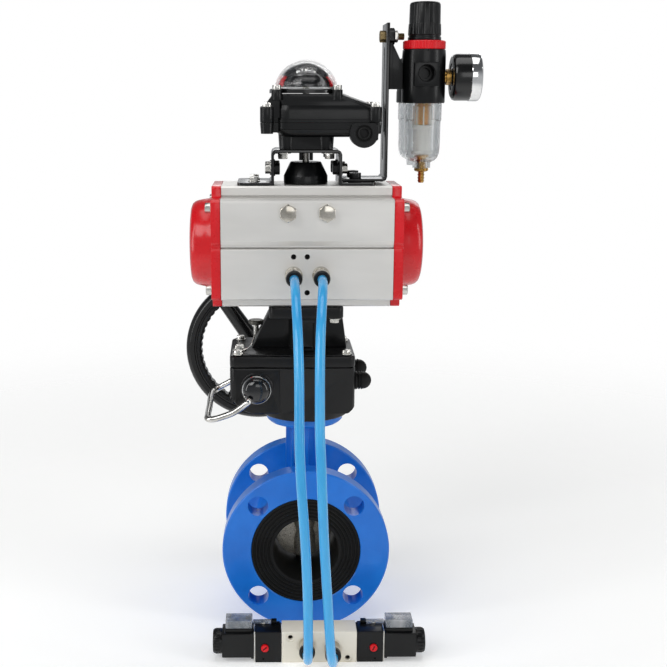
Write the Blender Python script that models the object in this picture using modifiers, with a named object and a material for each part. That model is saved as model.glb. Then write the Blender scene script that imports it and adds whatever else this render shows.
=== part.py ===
"""Actuated butterfly valve: flanged valve, worm gear override, rack-and-pinion pneumatic
actuator, position box, air service unit and a double-solenoid air valve.

Sizes are in millimetres and are turned to metres by MM. X runs to the right, Y away from the
front, Z up. The working frame has the stem axis at x = y = 0 and the floor at z = 0; the
"assembly" empty moves it so that the world origin is under the middle of the whole object.
"""

import math

import bmesh
import bpy
from mathutils import Matrix, Vector

MM = 0.001
GAP = 0.3            # clearance between seated pieces
RUN = 0.3            # radial clearance of a shaft in its bore
REST_OPEN = 12.0     # degrees that the disc stands open at rest

# Valve
PIPE_Z = 75.0        # height of the pipe axis; the flanges stand on small flats at z = 0
FACE = 54.0          # half of the face-to-face length
FLANGE_R = 77.5
FLANGE_T = 19.0
BOLT_CIRCLE_R = 62.5
BOLT_HOLE_R = 9.5
BARREL_R = 46.0
BORE_R = 30.0
LINER_R = 36.0
LINER_FACE_R = 50.5
LINER_T = 3.7
DISC_T = 7.0
DISC_CLEAR = 0.8
DISC_HUB_R = 11.5
SHAFT_R = 8.0
NECK_W = 35.4
NECK_D = 30.0
NECK_PANEL_IN, NECK_PANEL_D, NECK_PANEL_LOW = 12.0, 6.0, 128.0
PAD_R = 36.0
PAD_LOW = 187.5
PAD_TOP = 196.5
TRUNNION_DEPTH = 6.0

# Worm gear override
WORM_X, WORM_Z = -45.0, 229.0
HOUSING_RIGHT = 44.5
HOUSING_FRONT, HOUSING_BACK = -45.0, 34.0
HOUSING_BOSS_R = 42.0
HOUSING_BASE = 204.5
HOUSING_TOP = 247.3
HOUSING_WALL = 6.0
WORM_TUBE_R = WORM_Z - HOUSING_BASE
COVER_T = 11.0
QUADRANT_R = 26.5
QUADRANT_ROOT_R = 23.0
QUADRANT_HUB_R = 16.0
QUADRANT_TEETH, QUADRANT_STEP, QUADRANT_T = 16, 8.0, 16.0
WORM_R = 13.5
WORM_ROOT_R = 10.5
WORM_HALF = 18.0
WORM_PITCH = 7.2
WORM_SHAFT_R = 6.0
SLEEVE_R = 11.7
CAP_R = 12.4
CAP_FRONT = -59.5
LEVER_WIRE_R = 2.9
LEVER_FRONT_Y, LEVER_BACK_Y = -62.7, 40.0
WHEEL_Y = 117.0
WHEEL_R = 75.5
WHEEL_RIM_W = 17.0
WHEEL_T = 16.0
SPOKE_R = 7.5
SPOKE_ANGLES = (5.0, 125.0, 245.0)
STOP_SCREW_R = 4.0
STOP_CAP_R = 8.0
STOP_IN, STOP_END = 31.0, 60.5
STOP_Y = (-28.0, 19.0)
STOP_Z = 232.0
LOCK_X, LOCK_Y = -46.0, 12.0
LOCK_TOP = 281.0
LOCK_R = 7.5

# Pedestal between gear case and actuator
PEDESTAL_R = 20.0
PEDESTAL_BORE_R = 12.5
PEDESTAL_PLATE = 34.0
PEDESTAL_PLATE_T = 11.0
WEB_LEFT, WEB_RIGHT = -50.0, 38.6
WEB_HALF_Y = 12.5

# Actuator
ACT_Z = 356.3
ACT_HALF_H = 54.4
ACT_HALF_L = 76.0
ACT_FRONT, ACT_BACK = -52.7, 47.0
STRIP_HALF_Y = 31.0
STRIP_H = 9.8
GROOVE_LOW, GROOVE_TOP, GROOVE_D = 357.0, 362.0, 3.0
CYLINDER_R = 41.5
CAP_PLATE_T = 8.4
END_CAP_R = 41.0
END_CAP_T = 29.0
END_CAP_OUT = ACT_HALF_L + END_CAP_T
END_CAP_HOLLOW_R = 35.0
JOURNAL_R = 15.2
TEETH = 18
MODULE = 1.5
BACKLASH = 0.7
PRESSURE = math.radians(20.0)
PINION_HALF = 18.0
PINION_STUB_R = 6.0
ADAPTER_IN = 20.0    # how far the adapter reaches into the pinion
PINION_STUB_TOP = 420.0
PISTON_CLEAR = 0.5
PISTON_T = 10.0
PISTON_IN = 38.0
RACK_TIP = 28.0
RACK_DEPTH = 12.0
RACK_HALF_H = 15.0
RACK_TEETH = range(-2, 6)
PORT_Z = 334.6
PORT_HALF = 12.0
PORT_R = 5.6
PORT_MOUTH_Y = -77.7
COLLAR_R = 7.0
TUBE_R = 4.0
NAMUR_SCREWS = ((-12.0, 16.0), (0.0, 16.0), (0.0, -16.0))
NAMUR_SCREW_R = 2.4
NAMUR_SCREW_DEPTH = 8.0
TRAVEL_STOP_X, TRAVEL_STOP_Z = 17.0, 389.4
TRAVEL_STOP_R = 4.0
TRAVEL_HEAD_R = 8.0
TRAVEL_STOP_IN = -23.0

# Position box and its bracket
SHEET = 2.5
BRACKET_HALF = 31.5
BRACKET_TOP = 442.2
BRACKET_FOOT_X = 62.0
BRACKET_HALF_Y = 28.0
CONE_R, CONE_TOP_R = 20.0, 13.7
CONE_SHOULDER, CONE_TOP = 418.5, 430.6
INDICATOR_SHAFT_R = 3.0
BOX_LEFT, BOX_RIGHT, BOX_HALF_Y = -40.0, 66.0, 33.0
BOX_LOW, BOX_SEAM, BOX_RIM, BOX_TOP = 453.5, 466.0, 478.9, 491.2
BOX_WALL = 3.0
BOX_FOOT_X, BOX_FOOT_Y = 24.0, 18.0
GLAND_X, GLAND_Z, GLAND_R, GLAND_HOLE_R = 50.0, 457.0, 13.0, 5.8
DOME_R, DOME_WALL, DOME_RING_R, DOME_RING_T = 28.8, 2.0, 33.0, 4.0
ROTOR_R, ROTOR_LOW = 25.2, 497.0
CAM_R, CAM_LOBE, CAM_T = 7.5, 2.5, 4.0
CAM_LOW, CAM_HIGH = 462.0, 470.0

# Air service unit on its post
POST_X = 70.0
POST_HALF_Y = 20.0
POST_TOP = 552.0
POST_FOOT_X = 33.0
SLOT_HALF, SLOT_LOW, SLOT_TOP = 3.0, 432.0, 532.0
PLATE_LOW, WEB_TOP, PLATE_TOP = 487.0, 516.0, 533.0
AIR_X = 105.5
REG_R, REG_LOW, REG_TOP = 19.5, 482.8, 528.5
COLLAR_RING_R, COLLAR_RING_TOP = 19.0, 536.5
KNOB_R, KNOB_TOP = 15.0, 570.7
INLET_HALF, INLET_Z, INLET_HOLE_R, INLET_FACE = 13.0, 508.9, 8.0, -22.0
BOWL_R, BOWL_WALL, BOWL_LOW, BOWL_IN = 17.0, 2.0, 430.0, 6.0
ELEMENT_R, ELEMENT_LOW = 7.0, 462.0
DRAIN_LOW = 411.3
LUB_Y, LUB_R, LUB_TOP = 42.0, 17.5, 524.0
GAUGE_Z, GAUGE_R = 505.7, 21.3
GAUGE_BACK, GAUGE_BEZEL, GAUGE_FRONT = 129.5, 147.5, 158.5
STUD_Z, STUD_R = 541.0, 3.0

# Double-solenoid air valve on the floor
SOL_FRONT, SOL_BACK, SOL_TOP = -121.8, -100.0, 29.5
SOL_LEFT, SOL_RIGHT = -23.2, 42.7
HEAD_W, HEAD_TOP = 24.0, 29.0
COIL_W, COIL_LOW, COIL_TOP = 28.0, 4.5, 27.0
COIL_NUT_W, COIL_NUT_R = 8.0, 11.0
CONNECTOR_TOP = 38.0
SOL_PORTS = ((-1.4, 17.0), (21.2, 14.0))
SOL_PORT_R = 5.6
SOL_MOUTH_Y = -138.0
SOL_MOUNTING_HOLES, SOL_MOUNTING_R = ((-15.6, 24.0), (34.8, 4.5)), 1.7
SPOOL_R, SPOOL_TRAVEL, SPOOL_BACK = 4.0, 2.5, 4.0
BUTTON_R = 3.3
BUTTON_PROUD = 1.5
BUTTON_IN, BUTTON_Z = 14.5, 14.0

# Widest points of the rigid object, which set the world origin
CENTRE_X = (WORM_X - WHEEL_R + GAUGE_FRONT) / 2
CENTRE_Y = (SOL_MOUTH_Y + WHEEL_Y + WHEEL_T / 2) / 2

LEFT_TUBE = (
    (-12.0, -78.0, 334.6), (-12.0, -88.0, 334.6), (-12.0, -100.0, 333.5), (-11.8, -115.0, 329.0),
    (-11.4, -130.0, 319.5), (-10.8, -143.0, 306.0), (-10.3, -154.0, 289.0), (-10.0, -163.0, 270.0),
    (-10.0, -170.0, 250.0), (-10.0, -176.0, 228.0), (-9.4, -180.0, 205.0), (-8.2, -182.5, 182.0),
    (-6.6, -183.5, 160.0), (-5.0, -183.8, 136.0), (-3.8, -183.5, 112.0), (-2.9, -182.4, 89.0),
    (-2.4, -180.2, 69.0), (-2.1, -176.6, 52.5), (-1.9, -171.3, 39.0), (-1.7, -164.0, 28.5),
    (-1.5, -155.3, 21.2), (-1.4, -146.5, 17.8), (-1.4, -138.3, 17.0),
)
RIGHT_TUBE = (
    (12.0, -78.0, 334.6), (12.0, -88.0, 334.6), (11.6, -100.0, 333.5), (10.6, -115.0, 329.0),
    (9.3, -130.0, 319.5), (8.0, -143.0, 306.0), (7.0, -154.0, 289.0), (6.5, -163.0, 270.0),
    (6.3, -170.0, 250.0), (6.3, -176.0, 228.0), (7.2, -180.0, 205.0), (8.0, -182.5, 182.0),
    (8.9, -183.5, 160.0), (10.1, -183.8, 136.0), (11.6, -183.4, 112.0), (13.2, -182.2, 88.0),
    (14.6, -179.9, 67.0), (15.9, -176.2, 50.0), (17.1, -170.8, 36.2), (18.4, -163.5, 25.5),
    (19.7, -155.0, 18.2), (20.8, -146.4, 14.8), (21.2, -138.3, 14.0),
)

# ---------------------------------------------------------------- scene and materials


def clear_scene():
    for obj in list(bpy.data.objects):
        bpy.data.objects.remove(obj, do_unlink=True)


def new_collection(name):
    collection = bpy.data.collections.new(name)
    bpy.context.scene.collection.children.link(collection)
    return collection


clear_scene()
PARTS = new_collection("actuated_valve")
CUTTERS = new_collection("cutters")
ASSEMBLY = bpy.data.objects.new("assembly", None)
ASSEMBLY.location = (-CENTRE_X * MM, -CENTRE_Y * MM, 0)
PARTS.objects.link(ASSEMBLY)

LOOKS = {
    "blue_paint": ((0.02, 0.16, 0.55), 0.35, 0.0),
    "black_paint": ((0.012, 0.012, 0.013), 0.35, 0.0),
    "black_plastic": ((0.01, 0.01, 0.011), 0.45, 0.0),
    "rubber": ((0.015, 0.015, 0.015), 0.7, 0.0),
    "anodised": ((0.62, 0.61, 0.59), 0.4, 1.0),
    "red_paint": ((0.6, 0.01, 0.015), 0.3, 0.0),
    "steel": ((0.6, 0.6, 0.6), 0.3, 1.0),
    "chrome": ((0.8, 0.8, 0.8), 0.1, 1.0),
    "brass": ((0.6, 0.4, 0.15), 0.35, 1.0),
    "clear": ((0.9, 0.92, 0.93), 0.05, 0.0),
    "cream_paint": ((0.75, 0.71, 0.62), 0.4, 0.0),
    "blue_tube": ((0.08, 0.42, 0.85), 0.3, 0.0),
    "white_plastic": ((0.8, 0.8, 0.78), 0.5, 0.0),
    "amber": ((0.75, 0.5, 0.25), 0.6, 0.0),
}


def material(name, look):
    """One material for each piece, named after it."""
    colour, roughness, metallic = LOOKS[look]
    made = bpy.data.materials.new(name)
    made.use_nodes = True
    shader = made.node_tree.nodes["Principled BSDF"]
    shader.inputs["Base Color"].default_value = (*colour, 1.0)
    shader.inputs["Roughness"].default_value = roughness
    shader.inputs["Metallic"].default_value = metallic
    return made


# ---------------------------------------------------------------- shapes in millimetres


def block(bm, one, other):
    """A box between two opposite corners."""
    one, other = Vector(one), Vector(other)
    sides = [abs(side) for side in other - one]
    place = Matrix.Translation((one + other) / 2) @ Matrix.Diagonal((*sides, 1.0))
    bmesh.ops.create_cube(bm, size=1.0, matrix=place)


def rod(bm, start, end, radius, end_radius=None, sides=20):
    start, end = Vector(start), Vector(end)
    along = end - start
    spin = along.to_track_quat("Z", "Y").to_matrix().to_4x4()
    place = Matrix.Translation((start + end) / 2) @ spin
    tip = radius if end_radius is None else end_radius
    bmesh.ops.create_cone(bm, cap_ends=True, segments=sides, radius1=radius, radius2=tip,
                          depth=along.length, matrix=place)


def on_plane(axis, point, level):
    a, b = point
    return {"X": (level, a, b), "Y": (a, level, b), "Z": (a, b, level)}[axis]


def prism(bm, axis, outline, low, high):
    """A flat outline extruded along an axis."""
    face = bm.faces.new([bm.verts.new(on_plane(axis, point, low)) for point in outline])
    grown = bmesh.ops.extrude_face_region(bm, geom=[face])["geom"]
    moved = [vert for vert in grown if isinstance(vert, bmesh.types.BMVert)]
    bmesh.ops.translate(bm, vec=on_plane(axis, (0, 0), high - low), verts=moved)
    bmesh.ops.recalc_face_normals(bm, faces=bm.faces)


def loft(bm, axis, levels):
    """A closed solid through unlike outlines with the same number of points."""
    rings = [[bm.verts.new(on_plane(axis, point, level)) for point in outline] for level, outline in levels]
    bm.faces.new(rings[0])
    bm.faces.new(rings[-1])
    for lower, upper in zip(rings, rings[1:]):
        for i in range(len(lower)):
            bm.faces.new((lower[i - 1], lower[i], upper[i], upper[i - 1]))
    bmesh.ops.recalc_face_normals(bm, faces=bm.faces)


def arc(centre, radius, start, end, steps):
    """Points along a circle from start to end, in degrees."""
    angles = [math.radians(start + (end - start) * i / steps) for i in range(steps + 1)]
    return [(centre[0] + radius * math.cos(a), centre[1] + radius * math.sin(a)) for a in angles]


def rounded_rectangle(low, high, radius, steps=3):
    x0, y0, x1, y1 = low[0] + radius, low[1] + radius, high[0] - radius, high[1] - radius
    return (arc((x1, y1), radius, 0, 90, steps) + arc((x0, y1), radius, 90, 180, steps)
            + arc((x0, y0), radius, 180, 270, steps) + arc((x1, y0), radius, 270, 360, steps))


# ---------------------------------------------------------------- objects


def link(name, mesh, pivot, collection):
    obj = bpy.data.objects.new(name, mesh)
    obj.location = Vector(pivot) * MM
    obj.parent = ASSEMBLY
    collection.objects.link(obj)
    if collection is CUTTERS:
        obj.hide_render = True
        obj.display_type = "WIRE"
    return obj


def solid(name, shape, look=None, pivot=(0, 0, 0)):
    """An object from a function that fills a bmesh in millimetres. With no look it is a tool."""
    bm = bmesh.new()
    shape(bm)
    bmesh.ops.transform(bm, matrix=Matrix.Diagonal((MM, MM, MM, 1.0)), verts=bm.verts)
    bmesh.ops.translate(bm, vec=-Vector(pivot) * MM, verts=bm.verts)
    mesh = bpy.data.meshes.new(name)
    bm.to_mesh(mesh)
    bm.free()
    obj = link(name, mesh, pivot, PARTS if look else CUTTERS)
    if look:
        mesh.materials.append(material(name, look))
        mesh.shade_smooth()
        mesh.set_sharp_from_angle(angle=math.radians(35))
    return obj


def turned(name, profile, pivot, look=None, axis="Z", sides=24):
    """A profile of (radius, height) points turned about an axis through the pivot.

    The profile runs down its outer side. It is closed unless both ends lie on the axis."""
    bm = bmesh.new()
    verts = [bm.verts.new((r * MM, 0, h * MM)) for r, h in profile]
    for a, b in zip(verts, verts[1:]):
        bm.edges.new((a, b))
    if profile[0][0] > 0 or profile[-1][0] > 0:
        bm.edges.new((verts[-1], verts[0]))
    mesh = bpy.data.meshes.new(name)
    bm.to_mesh(mesh)
    bm.free()
    obj = link(name, mesh, pivot, PARTS if look else CUTTERS)
    quarter = math.pi / 2
    obj.rotation_euler = {"X": (0, quarter, 0), "Y": (-quarter, 0, 0), "Z": (0, 0, 0)}[axis]
    screw = obj.modifiers.new("turn", "SCREW")
    screw.axis = "Z"
    screw.steps = screw.render_steps = sides
    screw.use_merge_vertices = True
    screw.merge_threshold = 0.00001
    if look:
        mesh.materials.append(material(name, look))
    return obj


def combine(obj, tool, operation):
    modifier = obj.modifiers.new(tool.name, "BOOLEAN")
    modifier.operation = operation
    modifier.solver = "EXACT"
    modifier.object = tool


def cut(obj, shape, name="opening"):
    tool = solid(f"{obj.name}_{name}", shape)
    combine(obj, tool, "DIFFERENCE")


def join(obj, shape, name="boss"):
    tool = solid(f"{obj.name}_{name}", shape)
    combine(obj, tool, "UNION")


def wire(name, points, radius, look, pivot=(0, 0, 0)):
    curve = bpy.data.curves.new(name, "CURVE")
    curve.dimensions = "3D"
    curve.bevel_depth = radius * MM
    curve.bevel_resolution = 2
    curve.use_fill_caps = True
    spline = curve.splines.new("POLY")
    spline.points.add(len(points) - 1)
    for target, point in zip(spline.points, points):
        target.co = (*((Vector(point) - Vector(pivot)) * MM), 1.0)
    curve.materials.append(material(name, look))
    return link(name, curve, pivot, PARTS)


# ---------------------------------------------------------------- valve


def build_valve():
    pipe = (0, 0, PIPE_Z)
    inner = FACE - FLANGE_T
    recess = FACE - LINER_T - GAP
    body = turned("valve_body", [
        (LINER_FACE_R + GAP, FACE), (FLANGE_R, FACE), (FLANGE_R, inner), (BARREL_R, inner),
        (BARREL_R, -inner), (FLANGE_R, -inner), (FLANGE_R, -FACE), (LINER_FACE_R + GAP, -FACE),
        (LINER_FACE_R + GAP, -recess), (LINER_R + GAP, -recess), (LINER_R + GAP, recess),
        (LINER_FACE_R + GAP, recess)], pipe, "blue_paint", "Y", 32)

    def neck(bm):
        block(bm, (-NECK_W / 2, -NECK_D / 2, PIPE_Z + LINER_R + 5), (NECK_W / 2, NECK_D / 2, PAD_LOW + 1))

    def pad(bm):
        rod(bm, (0, 0, PAD_LOW), (0, 0, PAD_TOP), PAD_R, sides=36)

    def bolt_holes(bm):
        for quarter in range(4):
            angle = math.radians(45 + 90 * quarter)
            x, z = BOLT_CIRCLE_R * math.cos(angle), PIPE_Z + BOLT_CIRCLE_R * math.sin(angle)
            rod(bm, (x, -FACE - 5, z), (x, FACE + 5, z), BOLT_HOLE_R, sides=12)

    def neck_panels(bm):
        for side in (-1, 1):
            for front in (-1, 1):
                one = (side * NECK_PANEL_IN, front * (NECK_D / 2 - NECK_PANEL_D), NECK_PANEL_LOW)
                other = (side * (NECK_W / 2 - 2), front * (NECK_D / 2 + 1), PAD_LOW - 3)
                block(bm, one, other)

    def stem_bore(bm):
        rod(bm, (0, 0, PIPE_Z + BORE_R), (0, 0, PAD_TOP + 5), SHAFT_R + RUN)

    def trunnion_bore(bm):
        low = PIPE_Z - LINER_R - TRUNNION_DEPTH
        rod(bm, (0, 0, low), (0, 0, PIPE_Z - BORE_R), SHAFT_R + RUN)

    def floor_flats(bm):
        block(bm, (-90, -FACE - 5, -40), (90, FACE + 5, 0))

    join(body, neck, "neck")
    join(body, pad, "pad")
    cut(body, neck_panels, "neck_panels")
    cut(body, bolt_holes, "bolt_holes")
    cut(body, stem_bore, "stem_bore")
    cut(body, trunnion_bore, "trunnion_bore")
    cut(body, floor_flats, "floor_flats")

    face = FACE - LINER_T
    liner = turned("seat_liner", [
        (BORE_R, FACE), (LINER_FACE_R, FACE), (LINER_FACE_R, face), (LINER_R, face),
        (LINER_R, -face), (LINER_FACE_R, -face), (LINER_FACE_R, -FACE), (BORE_R, -FACE)],
        pipe, "rubber", "Y", 32)

    def stem_holes(bm):
        rod(bm, (0, 0, PIPE_Z - LINER_R - 2), (0, 0, PIPE_Z + LINER_R + 2), SHAFT_R + RUN)

    cut(liner, stem_holes, "stem_holes")


def build_drive():
    """Disc, stem, gear quadrant, adapter, pinion and indicator, all keyed to one axis."""
    disc_r = BORE_R - DISC_CLEAR

    def plate(bm):
        half = Vector((math.sin(math.radians(-REST_OPEN)), math.cos(math.radians(REST_OPEN)), 0)) * DISC_T / 2
        centre = Vector((0, 0, PIPE_Z))
        rod(bm, centre - half, centre + half, disc_r, sides=32)

    def hub(bm):
        height = math.sqrt(disc_r**2 - DISC_HUB_R**2) - 0.5
        rod(bm, (0, 0, PIPE_Z - height), (0, 0, PIPE_Z + height), DISC_HUB_R)

    def shaft_hole(bm):
        rod(bm, (0, 0, PIPE_Z - 40), (0, 0, PIPE_Z + 40), SHAFT_R + RUN)

    disc = solid("valve_disc", plate, "steel")
    join(disc, hub, "hub")
    cut(disc, shaft_hole, "shaft_hole")

    stem_low = PIPE_Z - LINER_R - TRUNNION_DEPTH + GAP
    stem_top = (HOUSING_BASE + HOUSING_TOP) / 2

    def stem(bm):
        rod(bm, (0, 0, stem_low), (0, 0, stem_top), SHAFT_R)

    solid("valve_stem", stem, "steel")

    quadrant_low = HOUSING_BASE + HOUSING_WALL + GAP

    def sector(bm):
        outline = [(0, 0)]
        for tooth in range(QUADRANT_TEETH):
            start = 180 + QUADRANT_STEP * (tooth - QUADRANT_TEETH / 2)
            outline += arc((0, 0), QUADRANT_ROOT_R, start, start + QUADRANT_STEP * 0.3, 1)
            outline += arc((0, 0), QUADRANT_R, start + QUADRANT_STEP * 0.45, start + QUADRANT_STEP * 0.75, 1)
        prism(bm, "Z", outline, WORM_Z - QUADRANT_T / 2, WORM_Z + QUADRANT_T / 2)

    def quadrant_hub(bm):
        rod(bm, (0, 0, quadrant_low), (0, 0, HOUSING_TOP - GAP), QUADRANT_HUB_R)

    def quadrant_bore(bm):
        rod(bm, (0, 0, quadrant_low - 5), (0, 0, HOUSING_TOP + 5), SHAFT_R + RUN)

    quadrant = solid("worm_quadrant", sector, "brass")
    join(quadrant, quadrant_hub, "hub")
    cut(quadrant, quadrant_bore, "bore")

    pinion_low = ACT_Z - ACT_HALF_H + GAP
    adapter_top = pinion_low + ADAPTER_IN

    def adapter(bm):
        rod(bm, (0, 0, stem_top + GAP), (0, 0, adapter_top), SHAFT_R)

    solid("drive_adapter", adapter, "steel")

    pitch_r = MODULE * TEETH / 2
    base_r = pitch_r * math.cos(PRESSURE)

    def half_angle(radius):
        """Half the angle that a tooth fills at this radius, with involute flanks."""
        def involute(a):
            return math.tan(a) - a
        at_pitch = (math.pi * MODULE / 2 - BACKLASH / 2) / 2 / pitch_r
        pressure = math.acos(min(1.0, base_r / radius))
        return at_pitch + involute(PRESSURE) - involute(pressure)

    def gear(bm):
        outline = []
        radii = (pitch_r - 1.25 * MODULE, pitch_r - 0.3, pitch_r + 0.9 * MODULE)
        for tooth in range(TEETH):
            middle = math.radians(360 / TEETH * (tooth + 0.5) + 90)
            flank = [(r, half_angle(r)) for r in radii]
            outline += [(r * math.cos(middle - h), r * math.sin(middle - h)) for r, h in flank]
            outline += [(r * math.cos(middle + h), r * math.sin(middle + h)) for r, h in reversed(flank)]
        prism(bm, "Z", outline, ACT_Z - PINION_HALF, ACT_Z + PINION_HALF)

    def journal_low(bm):
        rod(bm, (0, 0, pinion_low), (0, 0, ACT_Z - PINION_HALF + 1), JOURNAL_R - RUN)

    def journal_top(bm):
        rod(bm, (0, 0, ACT_Z + PINION_HALF - 1), (0, 0, ACT_Z + ACT_HALF_H), JOURNAL_R - RUN)

    def stub(bm):
        rod(bm, (0, 0, ACT_Z + ACT_HALF_H - 2), (0, 0, PINION_STUB_TOP), PINION_STUB_R)

    def socket(bm):
        rod(bm, (0, 0, pinion_low - 2), (0, 0, adapter_top + GAP), SHAFT_R + RUN)

    pinion = solid("actuator_pinion", gear, "steel")
    join(pinion, journal_low, "journal_low")
    join(pinion, journal_top, "journal_top")
    join(pinion, stub, "stub")
    cut(pinion, socket, "socket")

    cone_low = ACT_Z + ACT_HALF_H + GAP
    turned("indicator_coupling", [
        (INDICATOR_SHAFT_R + GAP, CONE_TOP), (CONE_TOP_R, CONE_TOP), (CONE_R, CONE_SHOULDER),
        (CONE_R, cone_low), (PINION_STUB_R + GAP, cone_low), (PINION_STUB_R + GAP, PINION_STUB_TOP + GAP),
        (INDICATOR_SHAFT_R + GAP, PINION_STUB_TOP + GAP)], (0, 0, 0), "black_plastic", "Z", 32)

    rotor_hole_top = ROTOR_LOW + 8
    shaft_low = PINION_STUB_TOP + 2 * GAP

    def indicator_shaft(bm):
        rod(bm, (0, 0, shaft_low), (0, 0, rotor_hole_top - GAP), INDICATOR_SHAFT_R, sides=16)

    solid("indicator_shaft", indicator_shaft, "steel")

    def cam(bm, low, lobe):
        outline = arc((0, 0), CAM_R, lobe + 35, lobe + 325, 16)
        outline += arc((0, 0), CAM_R + CAM_LOBE, lobe - 20, lobe + 20, 3)
        prism(bm, "Z", outline, low, low + CAM_T)

    def cam_spacer(bm):
        rod(bm, (0, 0, CAM_LOW + CAM_T - 1), (0, 0, CAM_HIGH + 1), CAM_R - 2, sides=16)

    def cam_hole(bm):
        rod(bm, (0, 0, CAM_LOW - 2), (0, 0, CAM_HIGH + CAM_T + 2), INDICATOR_SHAFT_R + GAP, sides=16)

    cams = solid("switch_cams", lambda bm: cam(bm, CAM_LOW, 190), "red_paint")
    join(cams, lambda bm: cam(bm, CAM_HIGH, 100), "upper")
    join(cams, cam_spacer, "spacer")
    cut(cams, cam_hole, "hole")

    centre_z = BOX_TOP + GAP
    low_angle = math.degrees(math.asin((ROTOR_LOW - centre_z) / ROTOR_R))
    crown = [(ROTOR_R * math.cos(math.radians(a)), centre_z + ROTOR_R * math.sin(math.radians(a)))
             for a in [90 - (90 - low_angle) * i / 6 for i in range(7)]]
    crown[0] = (0, centre_z + ROTOR_R)
    turned("indicator_rotor", [
        *crown, (INDICATOR_SHAFT_R + GAP, ROTOR_LOW), (INDICATOR_SHAFT_R + GAP, rotor_hole_top),
        (0, rotor_hole_top)], (0, 0, 0), "red_paint", "Z", 20)


# ---------------------------------------------------------------- worm gear override


def build_gear_case():
    left = WORM_X - WORM_TUBE_R

    def shell(bm):
        outline = [(HOUSING_RIGHT, HOUSING_TOP), (left, HOUSING_TOP)]
        outline += arc((WORM_X, WORM_Z), WORM_TUBE_R, 180, 270, 8) + [(HOUSING_RIGHT, HOUSING_BASE)]
        prism(bm, "Y", outline, HOUSING_FRONT, HOUSING_BACK)

    def boss(bm):
        rod(bm, (0, -3, PAD_TOP + GAP), (0, -3, HOUSING_BASE + 2), HOUSING_BOSS_R, sides=36)

    def cavity(bm):
        block(bm, (left + HOUSING_WALL + 1, HOUSING_FRONT + HOUSING_WALL, HOUSING_BASE + HOUSING_WALL),
              (HOUSING_RIGHT - HOUSING_WALL, HOUSING_BACK - HOUSING_WALL + 1, HOUSING_TOP + 5))

    def stem_hole(bm):
        rod(bm, (0, 0, PAD_TOP - 5), (0, 0, HOUSING_BASE + HOUSING_WALL + 2), SHAFT_R + RUN)

    def sleeve_bore(bm):
        rod(bm, (WORM_X, HOUSING_FRONT - 5, WORM_Z), (WORM_X, 0, WORM_Z), SLEEVE_R + RUN)

    def shaft_bore(bm):
        rod(bm, (WORM_X, 0, WORM_Z), (WORM_X, HOUSING_BACK + 5, WORM_Z), WORM_SHAFT_R + RUN)

    def stop_holes(bm):
        for y in STOP_Y:
            rod(bm, (HOUSING_RIGHT - HOUSING_WALL - 5, y, STOP_Z), (HOUSING_RIGHT + 5, y, STOP_Z),
                STOP_SCREW_R + GAP, sides=16)

    case = solid("gear_case", shell, "black_paint")
    join(case, boss, "boss")
    cut(case, cavity, "cavity")
    cut(case, stem_hole, "stem_hole")
    cut(case, sleeve_bore, "sleeve_bore")
    cut(case, shaft_bore, "shaft_bore")
    cut(case, stop_holes, "stop_holes")

    cover_low, cover_top = HOUSING_TOP + GAP, HOUSING_TOP + COVER_T

    def cover(bm):
        outline = rounded_rectangle((left, HOUSING_FRONT), (HOUSING_RIGHT, HOUSING_BACK), 6)
        prism(bm, "Z", outline, cover_low, cover_top)

    def shaft_hole(bm):
        rod(bm, (0, 0, cover_low - 5), (0, 0, cover_top + 5), PEDESTAL_BORE_R)

    def lock_hole(bm):
        rod(bm, (LOCK_X, LOCK_Y, cover_top - 6), (LOCK_X, LOCK_Y, cover_top + 5), 2.5 + GAP, sides=16)

    lid = solid("gear_case_cover", cover, "black_paint")
    cut(lid, shaft_hole, "shaft_hole")
    cut(lid, lock_hole, "lock_hole")

    turned("lock_screw", [
        (0, LOCK_TOP), (LOCK_R, LOCK_TOP), (LOCK_R, LOCK_TOP - 4), (4, LOCK_TOP - 6.5),
        (2.5, LOCK_TOP - 7), (2.5, cover_top - 5.5), (0, cover_top - 5.5)],
        (LOCK_X, LOCK_Y, 0), "steel", "Z", 20)

    for name, y in zip(("stop_screw_front", "stop_screw_rear"), STOP_Y):
        turned(name, [
            (0, STOP_END), (4.5, STOP_END - 0.7), (STOP_CAP_R - 0.8, STOP_END - 3.5),
            (STOP_CAP_R, STOP_END - 6.5), (STOP_CAP_R, HOUSING_RIGHT + GAP),
            (STOP_SCREW_R, HOUSING_RIGHT + GAP), (STOP_SCREW_R, STOP_IN), (0, STOP_IN)],
            (0, y, STOP_Z), "rubber", "X", 20)

    # Pedestal
    low, top = cover_top + GAP, ACT_Z - ACT_HALF_H - GAP
    plate_low = top - PEDESTAL_PLATE_T

    def flange(bm):
        side = PEDESTAL_PLATE
        prism(bm, "Z", rounded_rectangle((-side, -side), (side, side), 6), plate_low, top)

    def core(bm):
        rod(bm, (0, 0, low), (0, 0, plate_low + 2), PEDESTAL_R, sides=32)

    def webs(bm):
        high = plate_low + 1
        outline = [(WEB_LEFT, low), (WEB_RIGHT, low), (PEDESTAL_PLATE, high), (-PEDESTAL_PLATE, high)]
        prism(bm, "Y", outline, -WEB_HALF_Y, WEB_HALF_Y)

    def bore(bm):
        rod(bm, (0, 0, low - 5), (0, 0, top + 5), PEDESTAL_BORE_R)

    def lock_window(bm):
        rod(bm, (LOCK_X, LOCK_Y, low - 2), (LOCK_X, LOCK_Y, LOCK_TOP + 6), LOCK_R + 1.2, sides=20)

    pedestal = solid("pedestal", flange, "black_paint")
    join(pedestal, core, "core")
    join(pedestal, webs, "webs")
    cut(pedestal, bore, "bore")
    cut(pedestal, lock_window, "lock_window")


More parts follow.
